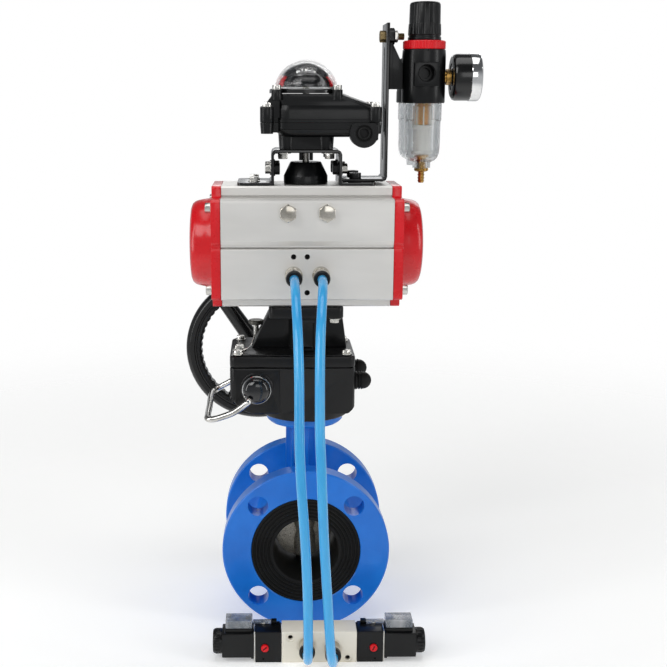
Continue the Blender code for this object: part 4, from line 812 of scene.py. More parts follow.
class VALVE_OT_casting(PieceOperator):
    """The blue valve body: two drilled flanges, barrel, ribbed neck and top pad."""

    bl_idname = "valve.casting"
    bl_label = "Valve casting"

    def execute(self, context):
        inner = FACE - FLANGE_T
        recess = FACE - SEAT_T - 0.3
        edge, mouth = 1.2, SEAT_R + 0.3
        half = [(BARREL_R, 0), (BARREL_R, inner - 5), (BARREL_R + 1.4, inner - 1.6), (BARREL_R + 5, inner),
                (FLANGE_R - edge, inner), (FLANGE_R, inner + edge), (FLANGE_R, FACE - edge),
                (FLANGE_R - edge, FACE), (mouth + 0.5, FACE), (mouth, FACE - 0.5), (mouth, recess),
                (LINER_R + 0.3, recess)]
        profile = [(r, -y) for r, y in reversed(half[1:])] + half
        casting = turned("valve_casting", profile, (0, 0, PIPE_Z), "Y", 144)
        neck = brick("neck", (-NECK_HALF_W, -NECK_HALF_D, PIPE_Z + LINER_R + 4),
                     (NECK_HALF_W, NECK_HALF_D, PAD_LOW + 2), 1.8)
        panels = [brick("panel", (side * 12.5, front * (NECK_HALF_D - 7), 127),
                        (side * (NECK_HALF_W + 3), front * (NECK_HALF_D + 3), PAD_LOW - 1), 1.5)
                  for side in (-1, 1) for front in (-1, 1)]
        pockets = [brick("pocket", (side * 3.2, front * (NECK_HALF_D - 2.2), 129),
                         (side * 10.5, front * (NECK_HALF_D + 3), PAD_LOW - 3), 0.9)
                   for side in (-1, 1) for front in (-1, 1)]
        cut(neck, *panels, *pockets)
        pad = turned("pad", [(0, PAD_TOP), (PAD_R - 1, PAD_TOP), (PAD_R, PAD_TOP - 1), (PAD_R, PAD_LOW + 2),
                             (PAD_R - 2, PAD_LOW), (0, PAD_LOW)], (0, 0, 0), "Z", 96)
        root = turned("root", [(21, PIPE_Z + BARREL_R - 6), (21, PIPE_Z + BARREL_R - 1.5),
                               (17.2, PIPE_Z + BARREL_R + 5),
                               (0, PIPE_Z + BARREL_R + 5), (0, PIPE_Z + BARREL_R - 6)], (0, 0, 0), "Z", 48)
        add(casting, neck, root, pad)
        holes = []
        for quarter in range(4):
            angle = math.radians(45 + 90 * quarter)
            x, z = BOLT_CIRCLE_R * math.cos(angle), PIPE_Z + BOLT_CIRCLE_R * math.sin(angle)
            for front in (-1, 1):
                holes.append(peg("hole", (x, front * (inner - 3), z), (x, front * (FACE + 3), z), BOLT_HOLE_R,
                                 48))
        cut(casting, *holes)
        bore = peg("bore", (0, 0, PIPE_Z + SEAT_BORE), (0, 0, PAD_TOP + 4), STEM_HOLE_R, 40)
        flats = brick("flats", (-90, -FACE - 5, -40), (90, FACE + 5, 0))
        cut(casting, bore, flats)
        ease(casting, 0.45, 45, 1)
        dress(casting, "blue", stands_for="valve_body", angle=28)
        return {"FINISHED"}


class VALVE_OT_seat_and_disc(PieceOperator):
    """The ridged rubber seat and the disc inside it."""

    bl_idname = "valve.seat_and_disc"
    bl_label = "Seat and disc"

    def execute(self, context):
        face = FACE - SEAT_T
        step = (SEAT_R - SEAT_BORE - 4) / trim().ridges
        half = [(LINER_R, 0), (LINER_R, face), (SEAT_R, face), (SEAT_R, FACE - 0.6), (SEAT_R - 0.6, FACE)]
        for i in range(trim().ridges):
            top = SEAT_R - 1.6 - i * step
            half += [(top, FACE), (top - step * 0.2, FACE - 1.0), (top - step * 0.5, FACE - 1.1),
                     (top - step * 0.72, FACE)]
        half += [(SEAT_BORE + 2.0, FACE), (SEAT_BORE + 0.5, FACE - 0.7), (SEAT_BORE, FACE - 2.5),
                 (SEAT_BORE, 16),
                 (SEAT_BORE, 8)]
        back = [(r, -y) for r, y in reversed(half)]
        seat = turned("rubber_seat", half + back[:-1], (0, 0, PIPE_Z), "Y", 144)
        hole = peg("hole", (0, 0, PIPE_Z - LINER_R - 2), (0, 0, PIPE_Z + LINER_R + 2), STEM_HOLE_R, 40)
        cut(seat, hole)
        dress(seat, "rubber", stands_for="seat_liner", angle=40)

        rest = math.radians(12.0)
        edge_r = span("valve_disc")[1].z - PIPE_Z
        disc = turned("butterfly_disc", [
            (0, 3.1), (edge_r - 9, 3.0), (edge_r - 3, 2.0), (edge_r - 0.4, 1.2), (edge_r, 0),
            (edge_r - 0.4, -1.2),
            (edge_r - 3, -2.0), (edge_r - 9, -3.0), (0, -3.1)], (0, 0, PIPE_Z), "Y", 96)
        disc.data.transform(Matrix.Translation(at(0, 0, 0)) @ Matrix.Rotation(rest, 4, "Z")
                            @ Matrix.Translation(-at(0, 0, 0)))
        height = math.sqrt(edge_r ** 2 - 11.5 ** 2) - 0.5
        hub = turned("hub", [(0, height), (9.5, height), (11.2, height - 2), (11.2, 8), (9.2, 0), (11.2, -8),
                             (11.2, 2 - height), (9.5, -height), (0, -height)], (0, 0, PIPE_Z), "Z", 40)
        add(disc, hub)
        cut(disc, peg("bore", (0, 0, PIPE_Z - 40), (0, 0, PIPE_Z + 40), STEM_HOLE_R, 40))
        dress(disc, "cast", "drive", "valve_disc", 35)
        return {"FINISHED"}


# ---------------------------------------------------------------- gear

WORM_X, WORM_Z = -45.0, 229.0
CASE_HOLLOW_LOW, CASE_HOLLOW_HIGH = (-62.5, -39.0, 210.5), (38.5, 29.0, 255.0)
WORM_HOLE_R, LID_BORE_R = 6.3, 12.5


class VALVE_OT_gear_case(PieceOperator):
    """The declutchable worm gear's case, its lid and their screws."""

    bl_idname = "valve.gear_case"
    bl_label = "Gear case"

    def execute(self, context):
        edge = trim().rounding / MM
        side = (arc((WORM_X, WORM_Z), 24.5, 180, 270, 16) + [(38.5, 204.5), (44.5, 210.5), (44.5, 247.3),
                                                             (-69.5, 247.3)])
        shell = slab("worm_gear_case", side, "Y", -45, 34, edge, 3)
        outline = soft_corners((-69.5, -45), (44.5, 34), 7)
        trim_block = slab("corners", outline, "Z", 190, 260)
        merge_shapes(shell, trim_block, "INTERSECT")
        boss = turned("boss", [(0, 206.5), (42, 206.5), (42, 197.8), (41, 196.8), (0, 196.8)], (0, -3, 0), "Z",
                      96)
        collar = turned("collar", [(0, 2), (14.8, 2), (14.8, -0.6), (14.2, -1.2), (0, -1.2)],
                        (WORM_X, -45, WORM_Z),
                        "Y", 64)
        rear = turned("rear", [(0, -2), (14, -2), (14, 5.5), (12.5, 7), (0, 7)], (WORM_X, 34, WORM_Z), "Y", 48)
        add(shell, boss, collar, rear)
        cut(shell, brick("step", (-24, -50, 190), (50, -43.4, 246.2), 1.0))
        ease(shell, 0.5, 40, 2)
        cut(shell, brick("hollow", CASE_HOLLOW_LOW, CASE_HOLLOW_HIGH),
            peg("stem_hole", (0, 0, 190), (0, 0, 216), STEM_HOLE_R, 40),
            peg("worm_hole", (WORM_X, 0, WORM_Z), (WORM_X, 45, WORM_Z), WORM_HOLE_R, 40))
        dress(shell, "powder", stands_for="gear_case", angle=30)

        lid = slab("gear_case_lid", soft_corners((-69.5, -44.6), (44.5, 33.6), 7), "Z", 247.6, 258.3, edge, 3)
        step = slab("step", soft_corners((-67, -42), (42, 31), 6), "Z", 258.2, 259.3, 0.4)
        add(lid, step)
        hub = peg("bore", (0, 0, 240), (0, 0, 270), LID_BORE_R, 64)
        cut(lid, hub)
        ease(lid, 0.4, 40)
        dress(lid, "powder", stands_for="gear_case_cover", angle=30)

        screws = []
        for x, y in ((-62.0, -38.5), (-61, 22), (36.6, -38), (37, 16)):
            screws.append(hex_head("cover_bolt", (x, y, 259.3), (0, 0, 1), 7, 3.0, 4.8))
        dress(gather("cover_bolts", screws), "zinc")
        return {"FINISHED"}


class VALVE_OT_stop_caps(PieceOperator):
    """Rubber caps over the stop screws on the right of the gear, and the knurled lock screw."""

    bl_idname = "valve.stop_caps"
    bl_label = "Stop caps and lock screw"

    def execute(self, context):
        for side, y in (("front", -28.0), ("rear", 19.0)):
            reach = span(f"stop_screw_{side}")[1].x - 44.8
            profile = [(0, 0), (8.3, 0), (8.6, 0.8)]
            for i in range(3):
                start = 1.4 + i * 2.3
                profile += [(8.3, start), (8.3, start + 1.2), (7.2, start + 1.5), (7.2, start + 2.0)]
            ball = 7.9
            profile += [(ball * math.cos(a), reach - ball + ball * math.sin(a))
                        for a in [math.radians(12 * i) for i in range(-1, 8)]]
            profile.append((0, reach))
            cap = turned(f"stop_cap_{side}", profile, (44.8, y, 232), "X", 48)
            dress(cap, "rubber", stands_for=f"stop_screw_{side}", angle=35)

        low, high = span("lock_screw")
        middle = (low + high) / 2
        top = high.z
        screw = turned("knurled_lock_screw", [
            (0, top), (6.3, top), (7.2, top - 0.6), (7.2, top - 3.4), (6.3, top - 4.0), (4.0, top - 4.2),
            (4.0, top - 5.0), (0, top - 5.0)], (middle.x, middle.y, 0), "Z", 48)
        groove = peg("groove", (middle.x + 7.5, middle.y, top - 4.5), (middle.x + 7.5, middle.y, top + 1), 0.5,
                     6)
        grooves = wheel_of(groove, "groove", 28, (middle.x, middle.y, 0), "Z")
        cut(screw, grooves, brick("slot", (middle.x - 8, middle.y - 0.6, top - 1.2),
                                  (middle.x + 8, middle.y + 0.6, top + 2)))
        dress(screw, "dull_zinc", stands_for="lock_screw", angle=30)
        shank = turned("lock_screw_shank", [
            (0, top - 5.1), (2.6, top - 5.1), (2.6, low.z + 4.6), (4.8, low.z + 4.4), (4.8, low.z + 1.6),
            (5.8, low.z + 1.4),
            (5.8, low.z), (0, low.z)], (middle.x, middle.y, 0), "Z", 40)
        dress(shank, "zinc")

        bolt = hex_head("pedestal_screw", (-61, -22, 259.3), (0, 0, 1), 8, 3.8, 6.4)
        lanyard = wired("lanyard", [(-61, -27.5, 259.9), (-57.5, -30, 261), (-52, -29.5, 264),
                                    (-48.5, -24.5, 269),
                                    (-47, -17, 272.6)], 0.7, 4)
        dress(gather("pedestal_screw", [bolt, lanyard]), "zinc")
        return {"FINISHED"}


class VALVE_OT_declutch(PieceOperator):
    """The domed sleeve on the worm and the bent wire lever that turns it."""

    bl_idname = "valve.declutch"
    bl_label = "Declutch lever"

    def execute(self, context):
        low, high = span("declutch_cap")
        x, z = WORM_X, WORM_Z
        front, root = low.y, high.y
        profile = [(0, root), (12.2, root), (12.2, -46.8), (12.9, -47.4), (12.9, -50.4), (12.3, -51.0),
                   (12.3, -53.4), (11.4, -55.8), (9.3, -57.8), (6.4, -59.0), (3.2, front + 0.05), (0, front)]
        dome = turned("declutch_dome", profile, (x, 0, z), "Y", 64)
        cut(dome, peg("hole", (x - 6.4, front - 1, z - 6.8), (x - 6.4, front + 6, z - 6.8), 1.8, 24))
        ease(dome, 0.25, 35)
        dress(dome, "dark_mirror_gloss", "declutch", "declutch_cap", 30)
        rim = turned("declutch_rim", [(12.35, -50.4), (13.2, -50.6), (13.3, -51.3), (12.9, -52.0),
                                      (12.3, -51.9)],
                     (x, 0, z), "Y", 72)
        dress(rim, "chrome", "declutch")

        y, back = -62.7, 40.0
        loop = [(-51.4, y + 2.6, 222.2), (-53.0, y + 0.4, 220.8), (-57.5, y, 217.2), (-66.0, y, 211.5),
                (-74.5, y + 0.3, 208.0),
                (-82.0, y + 1.0, 205.5), (-86.5, y + 2.5, 204.5), (-89.0, y + 5.0, 204.5),
                (-89.5, y + 12.0, 204.5),
                (-89.5, y + 40.0, 204.5), (-89.5, 28.0, 204.0), (-88.0, 36.0, 204.0), (-84.0, 40.0, 206.0),
                (-74.0, back, 211.5)]
        turn = arc((x, z), 10.0, 215, 395, 10)
        loop += [(u, back, v) for u, v in turn]
        lever = wired("wire_lever", loop, 2.9, 8)
        dress(lever, "wire", "declutch", "declutch_lever", 60)
        return {"FINISHED"}


class VALVE_OT_grip_wheel(PieceOperator):
    """The black handwheel with finger waves, three spokes and a nut on its hub."""

    bl_idname = "valve.grip_wheel"
    bl_label = "Handwheel"

    def execute(self, context):
        x, y, z = WORM_X, 117.0, WORM_Z
        outer, wide, thick = 75.5, 17.0, 16.0
        inner, mid = outer - wide, thick / 2
        ring = turned("grip_wheel", [
            (outer, -3.4), (outer, 3.4), (outer - 1.4, 6.2), (outer - 4.2, mid), (outer - 8.5, mid - 0.3),
            (outer - 9.2, mid - 1.1), (outer - 10.6, mid - 1.1), (outer - 11.3, mid - 0.3),
            (inner + 3.0, mid - 0.8),
            (inner + 0.6, 4.6), (inner, 0), (inner + 0.6, -4.6), (inner + 3.0, 0.8 - mid),
            (outer - 11.3, 0.3 - mid),
            (outer - 10.6, 1.1 - mid), (outer - 9.2, 1.1 - mid), (outer - 8.5, 0.3 - mid), (outer - 4.2, -mid),
            (outer - 1.4, -6.2)], (x, y, z), "Y", 180)
        wave = peg("wave", (x + inner - 1.7, y - 12, z), (x + inner - 1.7, y + 12, z), 3.1, 20)
        waves = wheel_of(wave, "waves", trim().grips, (x, y, z), "Y")
        cut(ring, waves)
        spokes = []
        for angle in (5, 125, 245):
            a = math.radians(angle)
            out = Vector((math.cos(a), 0, math.sin(a)))
            hub = Vector((x, y - 2.5, z))
            spoke = peg("spoke", hub + out * 9, hub + out * (inner + 6) + Vector((0, 2, 0)), 9.0, 32, 7.8)
            spokes.append(spoke)
        hub = turned("hub", [(0, -13), (12.5, -13), (14.2, -11.5), (15, -4), (15, 3), (13, 6.5), (9.5, 8),
                             (0, 8)],
                     (x, y, z), "Y", 48)
        add(ring, *spokes, hub)
        cut(ring, peg("bore", (x, y - 20, z), (x, y + 3, z), 6.3, 32))
        ease(ring, 0.8, 40)
        dress(ring, "phenolic", "manual_drive", "handwheel", 35)
        nut = hex_head("wheel_nut", (x, y + 8, z), (0, 1, 0), 11, 5.5, 8.0)
        dress(nut, "zinc", "manual_drive")
        return {"FINISHED"}


# ---------------------------------------------------------------- pedestal


class VALVE_OT_pedestal(PieceOperator):
    """The black yoke between gear and actuator, with its bolts."""

    bl_idname = "valve.pedestal"
    bl_label = "Pedestal"

    def execute(self, context):
        low, high = span("pedestal")
        foot, top = low.z, high.z
        plate_low = 290.6
        body = turned("pedestal_casting",
                      [(20, 258.9), (20, 288), (22, plate_low + 1), (0.0, plate_low + 1), (0, 258.9)],
                      (0, 0, 0), "Z", 64)
        plate = slab("plate", soft_corners((-34, -34), (34, 34), 6), "Z", plate_low, top, 1.4, 3)
        web = slab("web", [(-50, 258.9), (38.6, 258.9), (34, plate_low + 1), (-34, plate_low + 1)], "Y", -12.5,
                   12.5, 1.2)
        cross = slab("cross", [(-29, 258.9), (29, 258.9), (31, plate_low + 1), (-31, plate_low + 1)], "X", -11,
                     11, 1.2)
        add(body, plate, web, cross)
        cut(body, peg("bore", (0, 0, foot - 5), (0, 0, top + 5), 15.6, 48))
        cut(body, *[brick("window", (-7, side * 23, 262), (7, side * 34, 287), 1.5) for side in (-1, 1)])
        ease(body, 0.6, 40)
        dress(body, "powder", stands_for="pedestal", angle=30)

        bolts = []
        for x, y in ((-26, 26), (26, -26), (26, 26)):
            bolts.append(hex_head("bolt", (x, y, plate_low), (0, 0, -1), 8, 3.4, 5.8))
        dress(gather("pedestal_bolts", bolts), "zinc")
        return {"FINISHED"}


# ---------------------------------------------------------------- actuator

ACT_Z, ACT_HALF_H, ACT_HALF_L = 356.3, 54.4, 76.0
ACT_FRONT, ACT_BACK, STRIP_HALF_Y, STRIP_H = -52.7, 47.0, 31.0, 9.8
CYLINDER_R, JOURNAL_R = 41.5, 15.3
PORTS_X, PORT_Z, TUBE_HOLE_R = (-12.0, 12.0), 334.6, 4.2


def cover_outline():
    """The end covers' outline as (y, z) points: the extrusion's stepped section without its deep slits."""
    top, bottom = ACT_Z + ACT_HALF_H, ACT_Z - ACT_HALF_H

    def side(panel, strip, sign):
        upper, lower = top - STRIP_H, bottom + STRIP_H
        return [(strip - sign * 1.5, top), (strip, top - 1.5), (strip, upper + 1.2),
                (strip + sign * 2.5, upper),
                (panel - sign * 3.0, upper), (panel, upper - 3), (panel, 362.6), (panel - sign * 2.0, 360.2),
                (panel - sign * 2.0, 357.8), (panel, 356.0), (panel, lower + 2.0), (panel - sign * 2.0, lower),
                (strip, lower), (strip, bottom + 1.5), (strip - sign * 1.5, bottom)]

    return side(ACT_BACK, STRIP_HALF_Y, 1) + side(ACT_FRONT, -STRIP_HALF_Y, -1)[::-1]


def extrusion_outline():
    """The extrusion's section as (y, z) points: stepped strips above and below, a groove along each side."""
    top, bottom = ACT_Z + ACT_HALF_H, ACT_Z - ACT_HALF_H

    def side(panel, strip, sign):
        upper, lower = top - STRIP_H, bottom + STRIP_H
        notch, slit = strip - sign * 4, panel - sign * 7
        return [(strip - sign * 1.5, top), (strip, top - 1.5), (strip, upper + 1.9), (notch, upper + 1.9),
                (notch, upper), (panel - sign * 3.2, upper), (panel - sign * 1.2, upper - 1.0),
                (panel, upper - 3),
                (panel, 364.4), (panel - sign * 0.9, 362.9), (panel - sign * 2.4, 360.0),
                (panel - sign * 2.4, 358.9),
                (slit, 358.9), (slit, 357.2), (panel - sign * 0.4, 357.2), (panel, 356.8), (panel, lower + 1.2),
                (panel - sign * 1.2, lower), (notch, lower), (notch, lower - 1.3), (strip, lower - 1.3),
                (strip, bottom + 1.2), (strip - sign * 1.2, bottom)]

    return side(ACT_BACK, STRIP_HALF_Y, 1) + side(ACT_FRONT, -STRIP_HALF_Y, -1)[::-1]


class VALVE_OT_extrusion(PieceOperator):
    """The actuator's anodised body with its cylinder, ports and screw holes."""

    bl_idname = "valve.extrusion"
    bl_label = "Actuator body"

    def execute(self, context):
        body = slab("actuator_extrusion", extrusion_outline(), "X", -ACT_HALF_L, ACT_HALF_L)
        bores = [peg("cylinder", (-ACT_HALF_L - 5, 0, ACT_Z), (ACT_HALF_L + 5, 0, ACT_Z), CYLINDER_R, 96),
                 peg("journal", (0, 0, ACT_Z - 60), (0, 0, ACT_Z + 60), JOURNAL_R, 48)]
        bores += [peg("port", (x, ACT_FRONT - 5, PORT_Z), (x, ACT_FRONT + 12, PORT_Z), 5.6,
                      32) for x in PORTS_X]
        bores += [peg("tapped", (x, ACT_FRONT - 5, PORT_Z + z), (x, ACT_FRONT + 8, PORT_Z + z), 2.4, 24)
                  for x, z in ((-12, 16), (0, 16), (0, -16))]
        bores += [peg("stop", (x, ACT_FRONT - 5, 389.4), (x, -22, 389.4), 4.3, 24) for x in (-17, 17)]
        cut(body, *bores)
        dress(body, "anodised", stands_for="actuator_body", angle=25)
        # Matt near-black linings inside the three tapped holes: painted shade for the dark inside the holes.
        threads = [turned("thread", [(0, ACT_FRONT + 7.6), (2.35, ACT_FRONT + 7.6), (2.35, ACT_FRONT + 0.5),
                                     (1.9, ACT_FRONT + 0.9), (1.9, ACT_FRONT + 6), (0, ACT_FRONT + 6)],
                          (x, 0, PORT_Z + z), "Y", 24) for x, z in ((-12, 16), (0, 16), (0, -16))]
        dress(gather("tapped_hole_painted_shade", threads), "ink")
        return {"FINISHED"}


class VALVE_OT_end_caps(PieceOperator):
    """The red end caps with their corner screws."""

    bl_idname = "valve.end_caps"
    bl_label = "End caps"

    def execute(self, context):
        for side, way in (("left", -1), ("right", 1)):
            inner, outer, end = ACT_HALF_L + 0.3, ACT_HALF_L + 8.7, span(f"end_cap_{side}")[1 if way > 0 else 0].x * way
            low, high = sorted((way * inner, way * outer))
            cap = slab(f"end_cap_cover_{side}", cover_outline(), "X", low, high, 0.6, 2, 30)
            profile = [(0, outer - 3), (41.6, outer - 3), (41.6, outer - 0.4), (41.0, outer + 1.2),
                       (40.6, outer + 6),
                       (39.2, end - 7), (38.2, end - 4.2), (36.2, end - 1.8), (33.0, end - 0.5), (29.0, end),
                       (0, end)]
            drum = turned("drum", profile, (0, 0, ACT_Z), "X" if way > 0 else "-X", 96)
            hollow = peg("hollow", (way * (inner - 5), 0, ACT_Z), (way * (end - 5), 0, ACT_Z), 35, 64, 29)
            add(cap, drum)
            cut(cap, hollow)
            seats = [peg("seat", (way * (outer - 0.8), y, ACT_Z + z), (way * (outer + 3), y, ACT_Z + z), 5.8,
                         32)
                     for y in (-44.5, 39) for z in (-36.5, 36.5)]
            cut(cap, *seats)
            dress(cap, "red", stands_for=f"end_cap_{side}", angle=28)
            screws = [hex_head("screw", (way * (outer - 0.8), y, ACT_Z + z), (way, 0, 0), 8, 4.8, 5.2)
                      for y in (-44.5, 39) for z in (-36.5, 36.5)]
            dress(gather(f"end_cap_screws_{side}", screws), "zinc")
        return {"FINISHED"}


class VALVE_OT_travel_stops(PieceOperator):
    """The two travel stop bolts and the two push-in fittings on the actuator's front."""

    bl_idname = "valve.travel_stops"
    bl_label = "Travel stops and fittings"

    def execute(self, context):
        for side, x in (("left", -17.0), ("right", 17.0)):
            head = hex_head(f"stop_bolt_{side}", (x, ACT_FRONT + 0.2, 389.4), (0, -1, 0), 13.8, 8.0)
            shank = peg("shank", (x, ACT_FRONT - 1, 389.4), (x, -23, 389.4), 4.0, 32)
            dress(gather(f"stop_bolt_{side}", [head, shank]), "nickel",
                  stands_for=f"travel_stop_{side}")
        for side, x in (("left", -12.0), ("right", 12.0)):
            mouth = span(f"port_fitting_{side}")[0].y
            base = turned(f"push_fitting_{side}", [
                (TUBE_HOLE_R, ACT_FRONT + 9), (5.3, ACT_FRONT + 9), (5.3, ACT_FRONT - 0.4),
                (7.4, ACT_FRONT - 0.4),
                (7.8, ACT_FRONT - 1.0), (7.8, ACT_FRONT - 7.5), (7.4, ACT_FRONT - 8.3), (7.0, ACT_FRONT - 8.8),
                (7.0, ACT_FRONT - 18.6), (6.7, ACT_FRONT - 19.2), (TUBE_HOLE_R, ACT_FRONT - 19.2)],
                (x, 0, PORT_Z), "Y", 48)
            dress(base, "nickel", stands_for=f"port_fitting_{side}")
            ring = turned(f"release_ring_{side}", [
                (TUBE_HOLE_R, mouth), (6.3, mouth), (6.9, mouth + 0.7), (7.3, mouth + 2.2), (7.3, mouth + 4.6),
                (6.4, mouth + 5.4), (TUBE_HOLE_R, mouth + 5.4)], (x, 0, PORT_Z), "Y", 48)
            dress(ring, "polyamide")
        return {"FINISHED"}


# ---------------------------------------------------------------- position box


class VALVE_OT_box_bracket(PieceOperator):
    """The bent steel bracket that carries the position box, with its screws."""

    bl_idname = "valve.box_bracket"
    bl_label = "Box bracket"

    def execute(self, context):
        low, high = span("indicator_bracket")
        foot, top, sheet = low.z, high.z, 2.5
        half, far = 31.5, high.x
        right = [(far, foot), (far, foot + sheet), (half + 1.6, foot + sheet), (half, foot + sheet + 1.6),
                 (half, top - 4), (half - 1.2, top - 1.2), (half - 4, top)]
        under = [(half - sheet, foot), (half - sheet, top - sheet - 2), (half - sheet - 2, top - sheet)]
        outline = right + [(-x, z) for x, z in reversed(right)] + [(-x, z) for x,
                                                                   z in under] + list(reversed(under))
        bracket = slab("box_bracket", outline, "Y", low.y, high.y, 0.35, 2, 40)
        cut(bracket, peg("hole", (0, 0, top - 6), (0, 0, top + 3), 6, 32))
        corner = []
        for x in (-far, far):
            for y in (low.y, high.y):
                sign_x, sign_y = math.copysign(1, x), math.copysign(1, y)
                tool = brick("corner", (x - sign_x * 5, y - sign_y * 5, foot - 2),
                             (x + sign_x * 5, y + sign_y * 5, foot + 4))
                keep = peg("keep", (x - sign_x * 5, y - sign_y * 5, foot - 3),
                           (x - sign_x * 5, y - sign_y * 5, foot + 5),
                           5, 40)
                corner.append(cut(tool, keep))
        cut(bracket, *corner)
        dress(bracket, "gloss", stands_for="indicator_bracket", angle=30)

        bright, dark = [], []
        for y in (-15, 15):
            bright.append(hex_head("foot_bolt", (-47, y, foot + sheet), (0, 0, 1), 8, 3.4, 5.4))
            dark.append(socket_head("foot_screw", (44, y, foot + sheet + 2.8), (0, 0, 1), 5.4, 5.2))
            for sign in (-1, 1):
                place = (sign * half, y, top - 17)
                bright.append(hex_head("leg_bolt", place, (sign, 0, 0), 8, 4.4, 6.0))
                inner = (sign * (half - sheet), y, top - 17)
                dark.append(hex_head("leg_nut", inner, (-sign, 0, 0), 9.5, 4.2, 6.6))
        for x in (-21, 21):
            for y in (-14, 14):
                bright.append(hex_head("foot_nut", (x, y, top - sheet), (0, 0, -1), 8.5, 4.8, 7.4))
        dress(gather("bracket_bolts", bright), "zinc")
        for x in (-4.6, 4.6):
            dark.append(peg("pin", (x, -8, top - sheet - 7.5), (x, -8, top - sheet + 0.5), 1.7, 20,
                            rounding=0.2))
        dress(gather("bracket_screws", dark), "polyamide")
        return {"FINISHED"}


class VALVE_OT_coupling(PieceOperator):
    """The stepped cone on the pinion's top and the dome's turning drum."""

    bl_idname = "valve.coupling"
    bl_label = "Coupling and indicator"

    def execute(self, context):
        low, high = span("indicator_coupling")
        cone = turned("coupling_cone", [
            (6.5, low.z), (19.3, low.z), (20.0, low.z + 0.8), (20.0, 418.0), (19.6, 418.8), (14.3, 429.8),
            (13.5, high.z),
            (3.6, high.z), (3.6, high.z - 9), (6.5, high.z - 9.5)], (0, 0, 0), "Z", 96)
        dress(cone, "polyamide", "drive", "indicator_coupling", 28)

        low, high = span("indicator_rotor")
        base = low.z
        rise, waist, steps = 519.0 - 506.0, 20.6, 10
        outer = [(waist * (1 - (i / steps) ** 1.8) ** 0.72, 506.0 + rise * i / steps) for i in range(steps)]
        drum = turned("indicator_drum", [(0, base), (25.0, base), (25.2, base + 1), (24.4, base + 4),
                                         (22.6, base + 7),
                                         *outer, (0, 519.0)], (0, 0, 0), "Z", 96)
        dress(drum, "indicator", "drive", "indicator_rotor", 40)
        return {"FINISHED"}


class VALVE_OT_box_base(PieceOperator):
    """The position box's tray with its feet, screw lugs and cable gland."""

    bl_idname = "valve.box_base"
    bl_label = "Box base"

    def execute(self, context):
        low = span("switch_box_base")[0]
        left, right, half = -28.8, 65.0, 31.0
        floor_z, seam = 453.5, 466.0

        def shrunk(by, corner):
            return soft_corners((left + by, -half + by * 0.8), (right - by * 0.7, half - by * 0.8), corner, 10)

        tray = stacked("box_base", [(floor_z, shrunk(8, 11)), (floor_z + 1.2, shrunk(5.4, 12)),
                                    (floor_z + 4, shrunk(2.2, 13)),
                                    (floor_z + 6.6, shrunk(0.9, 13)), (floor_z + 7.0, shrunk(0.2, 13)),
                                    (seam, shrunk(0, 13))])
        feet = slab("feet", soft_corners((-24, -18), (24, 18), 3), "Z", low.z, floor_z + 1)
        posts = [peg("post", (x, y, low.z), (x, y, floor_z + 1.5), 6.6, 32,
                     7.4) for x in (-17.5, 17.5) for y in (-13, 13)]
        lugs = []
        for x in (-35.2, 60.0):
            for y in (-27.0, 27.0):
                lugs.append(peg("lug", (x, y, 456.5), (x, y, seam), 5.4, 40, 6.1))
                inward = math.copysign(1, -y)
                lugs.append(brick("web", (min(x, x - 10 * math.copysign(1, x)), min(y, y + 5 * inward),
                                          floor_z + 4),
                                  (max(x, x - 10 * math.copysign(1, x)), max(y, y + 5 * inward), seam)))
        gx, gz = 50.0, 457.0
        gland = peg("gland", (gx, -half - 4, gz), (gx, -half + 12, gz), 12.6, 64)
        tip = slab("tip", [(gx - 11, gz - 6), (gx + 0.5, gz - 13.0), (gx + 12.5, gz - 5.5), (gx + 12.5, gz + 8),
                           (gx - 11, gz + 8)],
                   "Y", -half - 3, -half + 8, 0.6)
        add(tray, feet, *posts, *lugs, gland, tip)
        hollow = slab("hollow", soft_corners((left + 4, -half + 4), (right - 4, half - 4), 9), "Z", floor_z + 4,
                      seam + 5)
        above = brick("above", (left - 15, -half - 8, seam), (right + 15, half + 8, seam + 20))
        cut(tray, hollow, above, peg("shaft", (0, 0, low.z - 5), (0, 0, floor_z + 10), 3.4, 32),
            peg("mouth", (gx, -half - 8, gz), (gx, -half + 9, gz), 7.6, 48))
        ease(tray, 0.35, 50, 1)
        dress(tray, "polyamide", stands_for="switch_box_base", angle=30)
        face = -half - 4
        rings = turned("gland_rings", [
            (4.0, face + 5), (4.0, face - 0.2), (4.8, face - 0.7), (5.6, face - 0.2), (5.9, face + 1.0),
            (6.7, face + 1.0),
            (7.0, face - 0.3), (7.5, face - 0.3), (7.5, face + 5)], (gx, 0, gz), "Y", 64)
        # A matt near-black disc a little inside the gland's mouth: painted shade for the dark hole.
        dress(turned("gland_mouth_painted_shade", [(0, face + 4), (3.9, face + 4), (3.9, face + 6), (0, face + 6)],
                     (gx, 0, gz), "Y", 40),
              "ink")
        dress(rings, "rubber")
        return {"FINISHED"}


